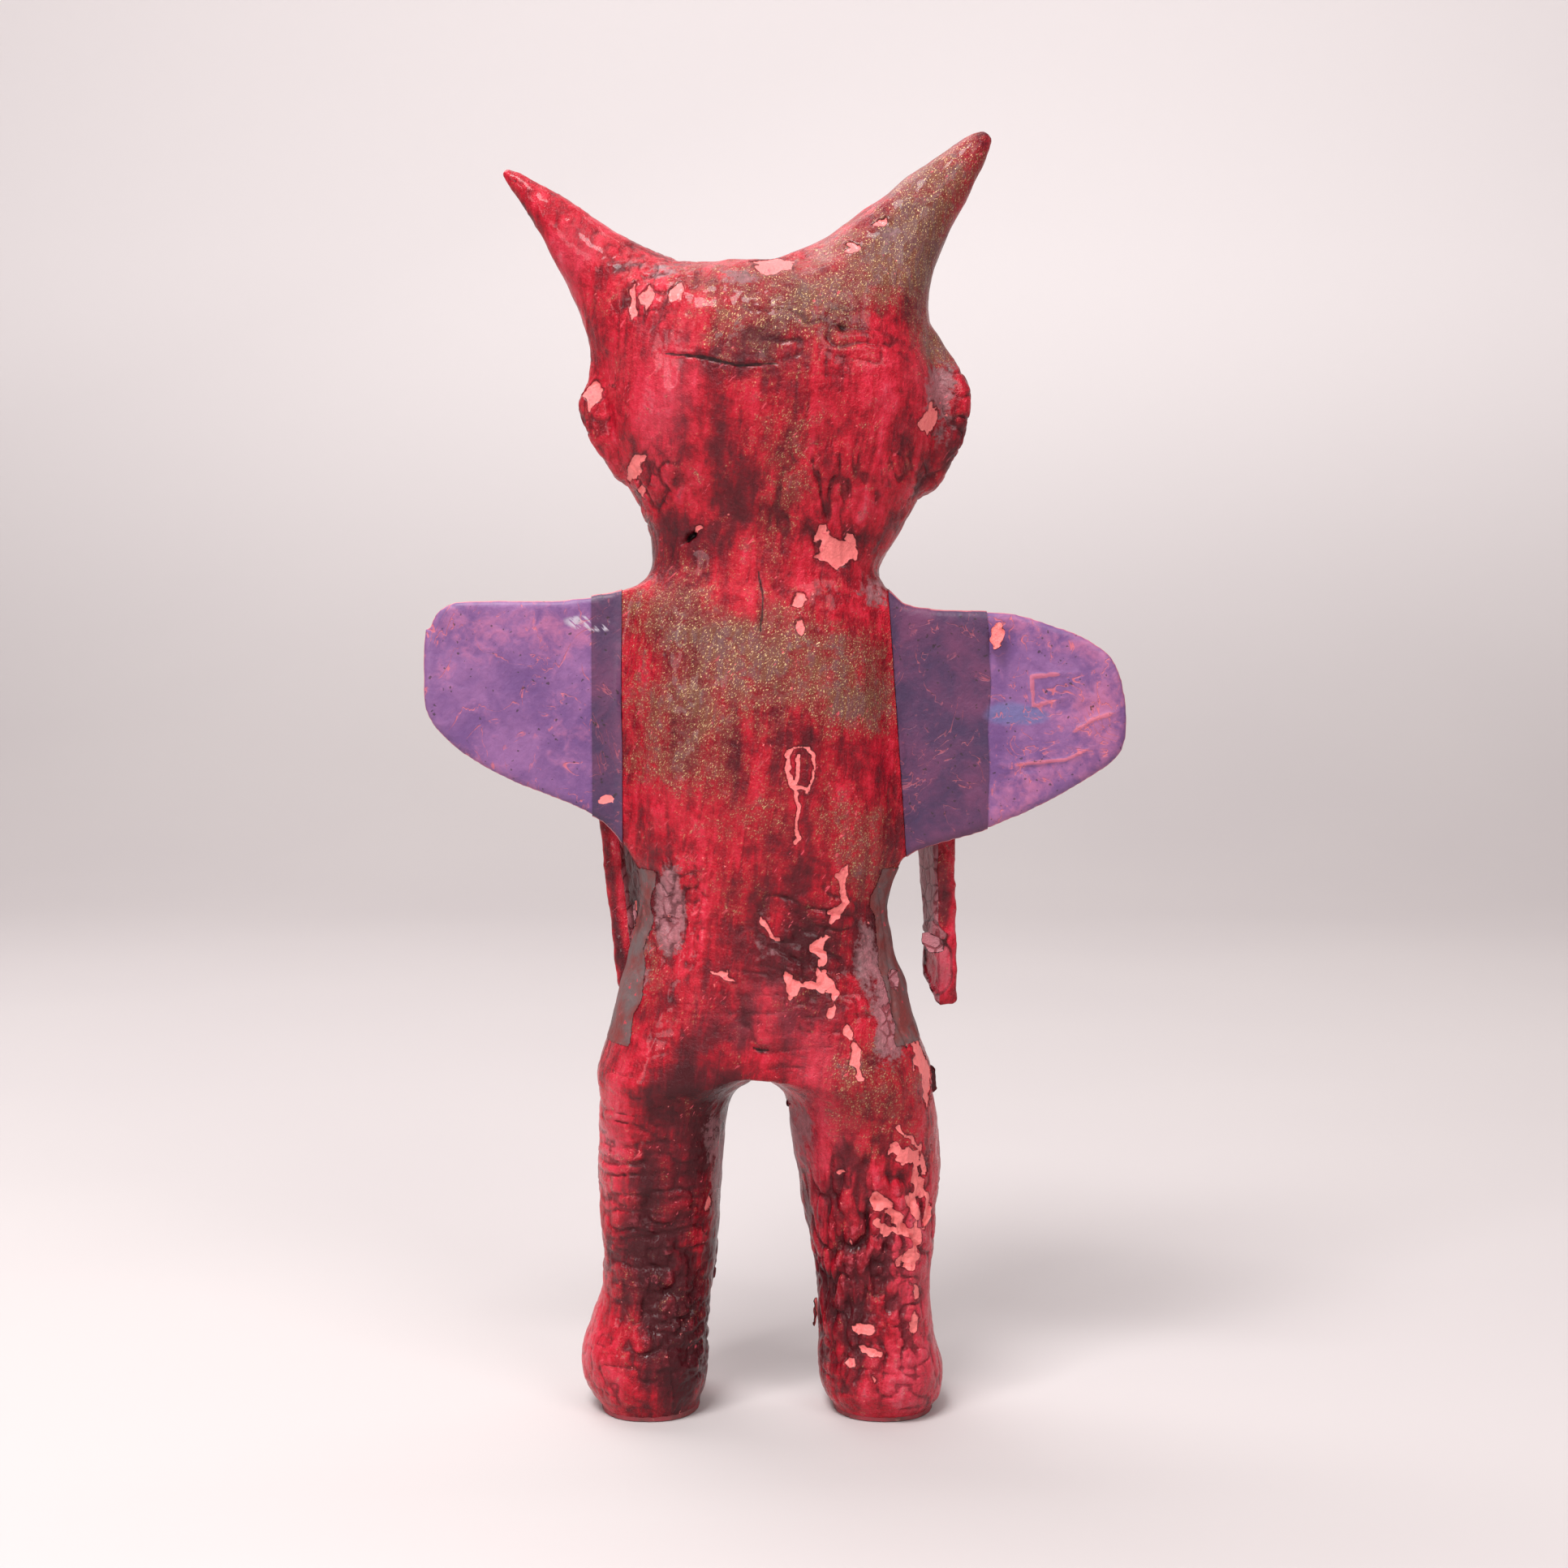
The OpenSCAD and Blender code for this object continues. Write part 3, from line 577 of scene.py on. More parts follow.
def wear_fields(at, normal):
    """Heights and paint fields of the papier-mache at these points."""
    back = smoothstep(0.3, -0.1, normal[:, 1])
    seen = np.where((back > 0.5)[:, None], at, at * np.array([-1, 1, 1]) + np.array([0, 0, 3.0]))
    lump = 0.6 * noise(at, 18, 1) + 0.34 * noise(at, 7.5, 2) + 0.15 * noise(at, 3.2, 3)
    fold = np.zeros(len(at))
    for n, (place, grain, height) in enumerate(WRINKLES):
        x, z, _, _, *turned = place
        u, v = across_and_along(seen, x, z, 1, 1, *turned)
        bent = np.stack([u, seen[:, 1], v], 1) + 0.8 * noise(seen, 6, 70 + n)[:, None]
        crest = 0.7 * ridges(bent, grain, 10 + n) + 0.3 * ridges(bent, np.array(grain) * 0.5, 40 + n)
        fold += 2.0 * height * spot(seen, *place) * (0.3 - crest)
    for line in CREASES:
        away, along = polyline_distance(at, line)
        fold += 0.8 * np.exp(-((away / 0.45) ** 2)) * np.sin(np.pi * along) ** 0.5 * back
    fine = 0.16 * ridges(at, (2.2, 2.2, 4.2), 4) * (0.5 + 0.5 * noise(at, 14, 5))
    flake = flake_distance(at, back)
    crack = np.zeros(len(at))
    dent = np.zeros(len(at))
    for line, width in CRACKS.values():
        away, along = polyline_distance(at, line)
        open_width = width * (0.6 + 0.6 * np.sin(np.pi * along)) * (1 + 0.5 * noise(at, 2, 51))
        line_mask = smoothstep(open_width + 0.25, open_width * 0.4, away) * back
        crack = np.maximum(crack, line_mask)
        dent -= 0.4 * line_mask
    brow = CRACKS["brow"][0]
    away, along = polyline_distance(at, brow)
    above = at[:, 2] > np.interp(at[:, 0], [p[0] for p in brow], [p[1] for p in brow])
    dent += 0.4 * back * above * np.exp(-((away / 2.6) ** 2)) * np.sin(np.pi * along)
    hole = smoothstep(0.2, -0.35, spot_distance(at, *TEAR) + 0.25 * noise(at, 1.2, 52)) * back
    pit = smoothstep(0.3, -0.9, spot_distance(at, *PIT)) * back
    dent -= 1.9 * hole + 0.8 * pit
    lip = np.exp(-(((flake - 0.32) / 0.26) ** 2)) * smoothstep(-0.2, 0.7, noise(at, 2.6, 53))
    bare = smoothstep(0.12, -0.12, flake)
    height = lump + fold + fine + dent - 0.2 * bare + 0.3 * lip
    return {
        "height": height,
        "zones": (zone(GOLD, seen, 60), zone(DARK, seen, 62), zone(GREY, seen, 64), zone(BRIGHT, seen, 66)),
        "marks": (flake, fold + fine, np.maximum(hole, 0.6 * pit), crack),
    }


# ---------------- wear worked into the surface


def wing_share(at):
    """1 out on the wings, 0 on the trunk."""
    trunk = body_grid.sample(fields["trunk"], at)
    wing = np.minimum(body_grid.sample(fields["wing_left"], at), body_grid.sample(fields["wing_right"], at))
    return smoothstep(0.2, 2.5, trunk - wing) * smoothstep(4, 1.5, wing)


def tones(at, normal):
    """Pink, blue and silver smears of the wings, and their worn rims."""
    rim = smoothstep(0.75, 0.35, np.abs(normal[:, 1]))
    return zone(WING_PINK, at, 80), zone(WING_BLUE, at, 82), zone(WING_SILVER, at, 84), rim


wear = wear_fields(points, normals)
thinness = wing_share(points)
height = wear["height"] * (1 - 0.55 * thinness) * smoothstep(0.4, 4, points[:, 2])
skin_points = points + normals * height[:, None]
skin_normals = point_normals(skin_points, quads)
skin_fields = {
    "zones": np.stack(wear["zones"], 1),
    "marks": np.stack(wear["marks"], 1),
    "tones": np.stack(tones(points, normals), 1),
}


# ---------------- pieces cut from the surface


def owners(at):
    """The CAD node that each place on the surface belongs to."""
    behind = at[:, 1] < SPINE_Y
    owner = np.where(behind, "torso_back_shell", "torso_front_shell").astype("U20")
    head = at[:, 2] > NECK_Z
    owner[head & behind] = "head_back_shell"
    owner[head & ~behind] = "head_front_shell"
    leg = at[:, 2] < CROTCH_Z
    owner[leg & (at[:, 0] < CROTCH_X)] = "leg_shell_left"
    owner[leg & (at[:, 0] >= CROTCH_X)] = "leg_shell_right"
    trunk = body_grid.sample(fields["trunk"], at)
    for node in FILLETS:
        owner[body_grid.sample(fields[node], at) < trunk] = node
    return owner


def mesh_object(name, at, faces, normal, values):
    """A mesh object from points in millimetres, arrays of faces, point normals and point fields."""
    mesh = bpy.data.meshes.new(name)
    sizes = np.concatenate([np.full(len(f), f.shape[1]) for f in faces]).astype(np.int32)
    index = np.concatenate([f.ravel() for f in faces]).astype(np.int32)
    mesh.vertices.add(len(at))
    mesh.vertices.foreach_set("co", (at * MM).astype(np.float32).ravel())
    mesh.loops.add(len(index))
    mesh.loops.foreach_set("vertex_index", index)
    mesh.polygons.add(len(sizes))
    mesh.polygons.foreach_set("loop_start", (np.cumsum(sizes) - sizes).astype(np.int32))
    mesh.polygons.foreach_set("loop_total", sizes)
    mesh.polygons.foreach_set("use_smooth", np.ones(len(sizes), bool))
    mesh.update(calc_edges=True)
    mesh.validate()
    for key, value in values.items():
        layer = mesh.attributes.new(key, "FLOAT_COLOR", "POINT")
        layer.data.foreach_set("color", value.astype(np.float32).ravel())
    mesh.normals_split_custom_set_from_vertices(normal.tolist())
    return add_object(name, mesh)


def open_edges(faces):
    """Directed edges with a face on one side only."""
    a, b = faces.ravel(), np.roll(faces, -1, axis=1).ravel()
    span = int(faces.max()) + 1
    lone = ~np.isin(a * span + b, b * span + a)
    return a[lone], b[lone]


def closed_sheet(name, outer, inner, faces, normal, values):
    """A closed thin piece: an outside, an inside and the rim between them."""
    count = len(outer)
    a, b = open_edges(faces)
    rim = np.stack([b, a, a + count, b + count], 1)
    sides = [faces, faces[:, ::-1] + count, rim]
    both = np.concatenate([normal, -normal])
    return mesh_object(name, np.concatenate([outer, inner]), sides, both, values)


def shell(name, face_set, skin, lift=0.0):
    """A thin sheet that follows this part of the surface, raised off it by lift."""
    used, local = np.unique(face_set, return_inverse=True)
    outer = skin_points[used] + skin_normals[used] * lift
    inner = outer - skin_normals[used] * skin
    values = {key: np.concatenate([value[used]] * 2) for key, value in skin_fields.items()}
    return closed_sheet(name, outer, inner, local.reshape(-1, 4), skin_normals[used], values)


def stands_for(made, node, slot_name):
    """Gives a piece its look and its body; node is the CAD node that it takes the place of, if any."""
    made.data.materials.append(LOOKS[slot_name])
    if node:
        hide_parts(node)
    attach(made, "root")


def snap_sideways(offset, allowed):
    """Slides the points that are near a cut line onto it, so that the cut is straight."""
    near = allowed & (np.abs(offset) < body_grid.cell / 3)
    skin_points[near, 0] -= offset[near]


# ---------------- materials


def srgb(red, green, blue):
    """Linear colour from 0 to 255 display values."""
    parts = [c / 255 for c in (red, green, blue)]
    return [c / 12.92 if c < 0.04045 else ((c + 0.055) / 1.055) ** 2.4 for c in parts] + [1.0]


CORAL = srgb(246, 126, 124)
CORAL_DEEP = srgb(226, 84, 98)
CRIMSON = srgb(176, 14, 36)
CRIMSON_DEEP = srgb(136, 6, 26)
CRIMSON_BRIGHT = srgb(202, 34, 58)
ROSE = srgb(204, 86, 100)
# The colour of the pinkish painted sheen on bright places.
PINK_SHEEN = srgb(186, 78, 94)
MAROON = srgb(100, 10, 24)
BURGUNDY = srgb(66, 6, 16)
OLIVE = srgb(112, 72, 52)
UMBER = srgb(116, 40, 38)
GOLD_DUST = srgb(214, 184, 132)
GREY_BROWN = srgb(98, 78, 78)
ASH = srgb(172, 110, 118)
# The darkest colour: dark specks of dirt on the wings, and painted shade in tears, pits and cracks.
DIRT_AND_SHADE = srgb(34, 16, 18)
PURPLE = srgb(100, 62, 116)
LILAC = srgb(136, 88, 138)
PINK = srgb(174, 98, 136)
WING_CORAL = srgb(206, 100, 108)
SLATE = srgb(92, 98, 146)
SILVER = srgb(188, 178, 190)
STRIP_PURPLE = srgb(60, 36, 72)
STRIP_PLUM = srgb(102, 48, 84)


class Paint:
    """A material built node by node; every value passed in is a number, a colour or a socket."""

    def __init__(self, name):
        self.material = bpy.data.materials.new(name)
        self.material.use_nodes = True
        self.nodes = self.material.node_tree.nodes
        self.shader = self.nodes["Principled BSDF"]
        self.place = self.add("ShaderNodeTexCoord").outputs["Object"]

    def add(self, kind, inputs=(), **settings):
        made = self.nodes.new(kind)
        for key, value in settings.items():
            setattr(made, key, value)
        for key, value in inputs:
            self.feed(made.inputs[key], value)
        return made

    def feed(self, socket, value):
        if isinstance(value, bpy.types.NodeSocket):
            self.material.node_tree.links.new(value, socket)
        else:
            socket.default_value = value

    def noise(self, grain, detail=3.0, roughness=0.55, twist=0.0, turn=(0.4, 0.7, 0.2)):
        """Cloudy value round 0.5; grain is its size in metres, one value or one per axis, then turned."""
        across = grain if isinstance(grain, tuple) else (grain,) * 3
        scale = [1 / g for g in across]
        inputs = [("Vector", self.place), ("Rotation", turn)]
        turned = self.add("ShaderNodeMapping", inputs, vector_type="TEXTURE")
        spread = self.add("ShaderNodeMapping", [("Vector", turned.outputs[0]), ("Scale", scale)])
        inputs = [("Vector", spread.outputs[0]), ("Scale", 1.0), ("Detail", detail)]
        inputs += [("Roughness", roughness), ("Distortion", twist)]
        return self.add("ShaderNodeTexNoise", inputs).outputs["Fac"]

    def cells(self, grain):
        """Distance to the edge of cells of this size."""
        inputs = [("Vector", self.place), ("Scale", 1 / grain)]
        return self.add("ShaderNodeTexVoronoi", inputs, feature="DISTANCE_TO_EDGE").outputs["Distance"]

    def sum(self, *terms):
        """Adds up values, each one a socket or a (socket, factor) pair, or a number."""
        total = 0.0
        for term in terms:
            value, factor = term if isinstance(term, tuple) else (term, 1.0)
            total = self.math("MULTIPLY_ADD", value, factor, total)
        return total

    def math(self, operation, *values):
        node = self.add("ShaderNodeMath", list(enumerate(values)), operation=operation)
        return node.outputs[0]

    def times(self, a, b):
        return self.math("MULTIPLY", a, b)

    def step(self, low, high, value):
        """0 below low and 1 above high, smoothly; low may be the larger."""
        inputs = [("Value", value), ("From Min", low), ("From Max", high)]
        return self.add("ShaderNodeMapRange", inputs, interpolation_type="SMOOTHSTEP").outputs[0]

    def mix(self, share, a, b):
        return self.add("ShaderNodeMix", [(0, share), (6, a), (7, b)], data_type="RGBA").outputs[2]

    def over(self, color, coat, share, amount=1.0):
        """The colour with a coat laid over it, as thick as share times amount."""
        return self.mix(share if amount == 1.0 else self.times(share, amount), color, coat)

    def ramp(self, value, *stops):
        """Colour by value; stops are (place, colour) in order."""
        node = self.add("ShaderNodeValToRGB", [("Fac", value)])
        marks = node.color_ramp.elements
        while len(marks) < len(stops):
            marks.new(0.5)
        for mark, (place, color) in zip(marks, stops):
            mark.position, mark.color = place, color
        return node.outputs["Color"]

    def layer(self, name):
        """A point field of the mesh as four values."""
        source = self.add("ShaderNodeAttribute", attribute_name=name)
        parts = self.add("ShaderNodeSeparateColor", [("Color", source.outputs["Color"])]).outputs
        return parts[0], parts[1], parts[2], source.outputs["Alpha"]

    def finish(self, color, roughness, height, depth, **constants):
        """Links colour, roughness and bump; depth is the bump's full height in metres."""
        self.feed(self.shader.inputs["Base Color"], color)
        self.feed(self.shader.inputs["Roughness"], roughness)
        bump = self.add("ShaderNodeBump", [("Height", height), ("Distance", depth)])
        self.feed(self.shader.inputs["Normal"], bump.outputs[0])
        for key, value in constants.items():
            self.shader.inputs[key.replace("_", " ").title()].default_value = value
        return self.material


def painted_mache():
    """Crimson paint, gold-dusted and grey in places, worn and flaked down to coral paper, with painted
    highlight, sheen and shade on its folds and hollows.
    """
    p = Paint("painted_mache")
    gold, dark, grey, bright = p.layer("zones")
    flake, crest, hole, crack = p.layer("marks")
    broad, mid, fine = p.noise(0.012), p.noise(0.0042, 5, 0.68, 0.5), p.noise(0.0012, 4, 0.7)
    micro, dust = p.noise(0.0004, 3), p.noise((0.00022, 0.0003, 0.0005), 1, turn=(0.2, 0.6, 0))
    brush = p.noise((0.0016, 0.0016, 0.011), 4, 0.62, 0.9, turn=(0.1, 0.12, 0.4))
    smear = p.noise((0.008, 0.004, 0.0024), 4, 0.65, 0.8, turn=(0, 0.3, 0.5))
    bands = p.noise((0.005, 0.005, 0.03), 3, 0.5, 0.6, turn=(0, 0.05, 0))
    # The tone is lighter on fold crests and darker in hollows: painted highlight and painted shade on the
    # folds.
    tone = p.sum(0.5, (brush, 0.42), (mid, 0.42), (fine, 0.16), (bands, 0.5), (broad, 0.5), -1.0)
    tone = p.sum(tone, (smear, 0.25), -0.125, (crest, 0.16), (bright, 0.12), (dark, -0.24))
    color = p.ramp(
        tone,
        (0.2, BURGUNDY),
        (0.36, MAROON),
        (0.46, CRIMSON_DEEP),
        (0.56, CRIMSON),
        (0.68, CRIMSON_BRIGHT),
        (0.84, ROSE),
    )
    # A pinkish painted sheen is laid over the bright places.
    color = p.over(color, PINK_SHEEN, p.step(0.25, 1.0, p.sum(bright, (mid, 0.8), -0.4)), 0.3)
    # Gold dust lies in blotches over the crimson, brown where it is thin.
    blotch = p.sum((gold, 0.85), (mid, 2.0), (broad, 1.2), (smear, 0.9), (fine, 1.0), -2.75)
    thin = p.step(0.0, 0.45, blotch)
    thick = p.step(0.3, 0.95, blotch)
    color = p.over(color, UMBER, thin, 0.62)
    color = p.over(color, p.mix(p.step(0.4, 0.6, brush), OLIVE, GREY_BROWN), thick, 0.75)
    scatter = p.step(-0.1, 0.6, p.sum(blotch, (fine, 0.8), -0.4))
    sparkle = p.times(p.step(0.6, 0.68, dust), scatter)
    color = p.over(color, GOLD_DUST, sparkle, 0.8)
    # Bare grey-brown paper with dark cracks.
    bare = p.step(0.38, 0.6, p.sum(grey, (fine, 0.6), (mid, 0.9), (smear, 0.6), -1.05))
    veins = p.times(p.step(0.08, 0.02, p.sum(p.cells(0.004), (fine, 0.12), -0.06)), p.step(0.6, 1.0, grey))
    paper = p.mix(p.step(0.3, 0.7, p.sum((fine, 0.6), (grey, 0.5), -0.1)), GREY_BROWN, ASH)
    paper = p.over(paper, MAROON, veins, 0.7)
    color = p.over(color, paper, bare, 0.85)
    # Crests are painted pale, a painted highlight laid with rubbed wear; hollows are darkened with painted
    # shade; and thin scratches cross both.
    rubbed_and_highlit = p.times(p.step(0.3, 0.7, crest), p.step(0.45, 0.62, fine))
    color = p.over(color, ROSE, rubbed_and_highlit, 0.55)
    color = p.over(color, BURGUNDY, p.step(-0.04, -0.24, crest), 0.6)
    scratch = p.times(p.step(0.66, 0.7, p.noise((0.0008, 0.0008, 0.005), 2)), p.step(0.48, 0.62, broad))
    color = p.over(color, CORAL_DEEP, scratch, 0.7)
    specks = p.times(p.step(0.7, 0.73, p.noise(0.0011, 2)), p.step(0.52, 0.62, p.noise(0.008, 2)))
    color = p.over(color, CORAL, specks, 0.8)
    # Flakes show the coral undercoat, with a dark broken edge.
    edge = p.sum(flake, (micro, 0.3), -0.15)
    gone = p.step(0.05, -0.05, edge)
    color = p.over(color, BURGUNDY, p.step(0.34, 0.12, edge), 0.6)
    color = p.over(color, p.mix(p.step(0.56, 0.7, fine), CORAL, CORAL_DEEP), gone)
    # The tear, the pit and the cracks are painted near-black: painted shade in their hollows.
    color = p.over(color, DIRT_AND_SHADE, p.step(0.25, 0.7, hole))
    color = p.over(color, DIRT_AND_SHADE, p.step(0.3, 0.8, crack), 0.85)
    gloss = p.sum(0.17, (mid, 0.14), (fine, 0.12), (bare, 0.16), (thick, 0.12), (gone, 0.3))
    gloss = p.sum(gloss, (dark, -0.07), -0.02)
    relief = p.sum((fine, 0.5), (micro, 0.2), (brush, 0.3), (gone, -0.5), (veins, -0.3), (mid, 0.3))
    p.feed(p.shader.inputs["Metallic"], p.times(sparkle, 0.6))
    p.shader.inputs["Specular IOR Level"].default_value = 0.2
    return p.finish(color, gloss, relief, 0.0009, coat_weight=0.16, coat_roughness=0.07)


def wing_paint(name, low_tone, high_tone, pinkness):
    """Purple paint on card, smeared pink and worn to coral along its creases and rim."""
    p = Paint(name)
    pink, blue, silver, rim = p.layer("tones")
    flake, crest, _, _ = p.layer("marks")
    broad, mid, fine = p.noise(0.011, 3, 0.5, 0.6), p.noise(0.0042, 4, 0.6, 0.8), p.noise(0.0013, 4)
    micro = p.noise(0.0005, 2)
    tone = p.sum((broad, 1.2), (mid, 0.5), (fine, 0.3), -1.0)
    color = p.mix(p.step(-0.3, 0.34, tone), low_tone, high_tone)
    rosy = p.step(0.3, 1.1, p.sum(pink, (mid, 1.6), (fine, 0.7), -1.05 + pinkness))
    color = p.over(color, PINK, rosy, 0.75)
    color = p.over(color, SLATE, p.step(0.3, 0.8, p.sum(blue, (mid, 0.6), -0.3)), 0.7)
    scuff = p.times(p.step(0.3, 0.7, silver), p.step(0.48, 0.6, p.noise((0.004, 0.004, 0.0009), 3)))
    color = p.over(color, SILVER, scuff, 0.8)
    # Thin worn lines wander where the paint has cracked.
    wander = p.math("ABSOLUTE", p.sum(p.noise(0.012, 3, 0.6, 1.4), -0.5))
    line = p.times(p.step(0.014, 0.004, wander), p.step(0.45, 0.62, mid))
    color = p.over(color, WING_CORAL, line, 0.6 + pinkness)
    worn = p.times(p.step(0.35, 0.9, p.sum(rim, (mid, 0.9), -0.45)), 0.8)
    color = p.over(color, WING_CORAL, worn)
    color = p.over(color, WING_CORAL, p.step(0.25, 0.5, crest), 0.55)
    color = p.over(color, CORAL, p.step(0.05, -0.05, p.sum(flake, (micro, 0.3), -0.15)))
    color = p.over(color, DIRT_AND_SHADE, p.step(0.71, 0.74, p.noise(0.0012, 1)), 0.7)
    gloss = p.sum(0.42, (mid, 0.16), (fine, 0.1))
    relief = p.sum((fine, 0.5), (mid, 0.5), (micro, 0.15), (line, -0.2))
    return p.finish(color, gloss, relief, 0.00035, coat_weight=0.12, coat_roughness=0.3)


def plain_paint(
    name, base, shade, worn, grain=0.004, stretch=1.0, roughness=0.4, metallic=0.0, depth=0.0003
):
    """One brushed colour with shaded clouds, worn specks and uneven gloss."""
    p = Paint(name)
    mid, fine = p.noise(grain, 4, 0.6), p.noise((grain / 4, grain / 4, grain / 4 * stretch), 4)
    color = p.mix(p.step(0.35, 0.65, mid), srgb(*shade), srgb(*base))
    color = p.over(color, srgb(*worn), p.step(0.62, 0.7, fine), 0.75)
    gloss = p.sum(roughness, (mid, 0.2), (fine, 0.15), -0.15)
    return p.finish(color, gloss, p.sum((fine, 0.6), (mid, 0.4)), depth, metallic=metallic)


def eye_enamel():
    """White of the eye, an umber iris and a dark pupil."""
    p = Paint("eye_enamel")
    away = p.layer("zones")[0]
    mid, fine = p.noise(0.003, 4), p.noise(0.0008, 4)
    color = p.mix(p.step(0.4, 0.7, mid), srgb(234, 226, 210), srgb(212, 196, 176))
    color = p.over(color, srgb(196, 110, 104), p.step(0.66, 0.7, fine), 0.7)
    edge = p.sum(away, (mid, 0.6), -0.3)
    color = p.over(color, srgb(150, 96, 30), p.step(3.9, 3.7, edge))
    color = p.over(color, srgb(22, 18, 20), p.step(2.3, 2.1, edge))
    relief = p.sum((fine, 0.6), (mid, 0.4))
    return p.finish(color, p.sum(0.2, (fine, 0.15)), relief, 0.0002, coat_weight=0.4)


# The look of each slot. A plain paint's three colours are its base, its shaded clouds and its worn specks.
LOOKS = {
    "red_mache": painted_mache(),
    "wing_card": wing_paint("wing_paint", PURPLE, LILAC, 0.1),
    "strip_paper": wing_paint("strip_paint", STRIP_PURPLE, STRIP_PLUM, -0.25),
    "seam_paper": plain_paint(
        "seam_paper", (98, 78, 78), (116, 40, 38), (202, 34, 58), 0.006, roughness=0.55, depth=0.0004
    ),
    "eye_white": eye_enamel(),
    "lip_paint": plain_paint("lip_enamel", (120, 14, 28), (84, 10, 20), (214, 92, 96), roughness=0.3),
    "tooth_white": plain_paint("tooth_enamel", (236, 226, 204), (204, 184, 150), (150, 110, 90)),
    "black_paint": plain_paint("beard_paint", (30, 24, 26), (14, 12, 14), (96, 40, 46), 0.003, stretch=9),
    "sole_card": plain_paint("sole_card", (150, 52, 62), (104, 60, 58), (158, 130, 112), roughness=0.7),
    "reed": plain_paint("reed", (190, 156, 98), (150, 112, 62), (104, 76, 44), stretch=20, roughness=0.6),
    "twine": plain_paint("twine", (188, 164, 122), (146, 118, 80), (96, 76, 52), 0.0012, roughness=0.9),
    "wire": plain_paint("wire", (150, 146, 142), (96, 84, 76), (120, 62, 34), metallic=0.9),
    "newspaper": plain_paint("newspaper", (196, 190, 178), (150, 144, 134), (70, 68, 66), roughness=0.9),
}


# ---------------- the pieces themselves

# Where the dark paper strips start on the flanks: at one X on the left, at an X by height on the right.
LEFT_ROOT_X = -33.3
RIGHT_ROOT_LINE = ([124, 181], [28.8, 24.7])

left_root = skin_points[:, 0] - LEFT_ROOT_X
left_edge = skin_points[:, 0] - STRIP_LEFT_X
right_root = skin_points[:, 0] - np.interp(skin_points[:, 2], *RIGHT_ROOT_LINE)
right_edge = skin_points[:, 0] - STRIP_RIGHT_X - 0.5 * noise(skin_points, (50, 50, 9), 95)
winged = (skin_points[:, 2] > wing_low[2] - 3) & (skin_points[:, 2] < wing_high[2] + 3)
at_back = winged & (skin_points[:, 1] < WING_Y + 1.6)
snap_sideways(left_root, winged)
snap_sideways(left_edge, winged)
snap_sideways(right_root, at_back)
snap_sideways(right_edge, winged)


def face_mean(values):
    return values[quads].mean(1)


centre = points[quads].mean(1)
owner = owners(centre)
trunk_side = np.where(centre[:, 1] < SPINE_Y, "torso_back_shell", "torso_front_shell")
inboard = (owner == "wing_left") & (face_mean(left_root) > 0)
inboard |= (owner == "wing_right") & (face_mean(right_root) < 0)
owner = np.where(inboard, trunk_side, owner)

# Both strips lie within the wings' height, on the card or on the back next to it.
banded = face_mean(winged.astype(float)) > 0.9
banded &= (face_mean(thinness) > 0.4) | (face_mean(at_back.astype(float)) > 0.5)
left_strip = banded & (face_mean(left_root) < 0) & (face_mean(left_edge) > 0)
right_strip = banded & (face_mean(right_root) > 0) & (face_mean(right_edge) < 0)

# How thick each piece's skin is: thin pieces have a thinner one.
SKINS = {node: SKIN for node in np.unique(owner).tolist()} | {node: 0.5 * SKIN for node in FILLETS}
for node, skin in SKINS.items():
    slot_name = "wing_card" if node.startswith("wing") else "red_mache"
    stands_for(shell(f"{node}_skin", quads[owner == node], skin), node, slot_name)
STRIP_THICK, STRIP_LIFT = 0.45, 0.32
for node, chosen in (("wing_strip_left", left_strip), ("wing_strip_right", right_strip)):
    made = shell(f"{node}_paper", quads[chosen], STRIP_THICK, STRIP_LIFT)
    stands_for(made, node, "strip_paper")

# Grey paper strips glued over the flank seams, from this share of the half width outwards.
SEAM_FROM = {"left": 0.86, "right": 0.885, "front": 0.97}
SEAM_THICK, SEAM_LIFT = 0.4, 0.16
half_at = np.interp(centre[:, 2], trunk_rows[:, 0], trunk_rows[:, 2])
middle_at = np.interp(centre[:, 2], trunk_rows[:, 0], trunk_rows[:, 1])
sideways = (centre[:, 0] - middle_at) / half_at + 0.03 * noise(centre, 5, 96)
behind = centre[:, 1] < SPINE_Y
in_seam = (centre[:, 2] > SEAM_LOW) & (centre[:, 2] < SEAM_HIGH)
left_seam = in_seam & (sideways < np.where(behind, -SEAM_FROM["left"], -SEAM_FROM["front"]))
right_seam = in_seam & (sideways > np.where(behind, SEAM_FROM["right"], SEAM_FROM["front"]))
for node, chosen in (("seam_strip_left", left_seam), ("seam_strip_right", right_seam)):
    made = shell(f"{node}_paper", quads[chosen], SEAM_THICK, SEAM_LIFT)
    stands_for(made, node, "seam_paper")


# How far smoothing draws a surface in, in millimetres.
SMOOTHING_LOSS = 0.2


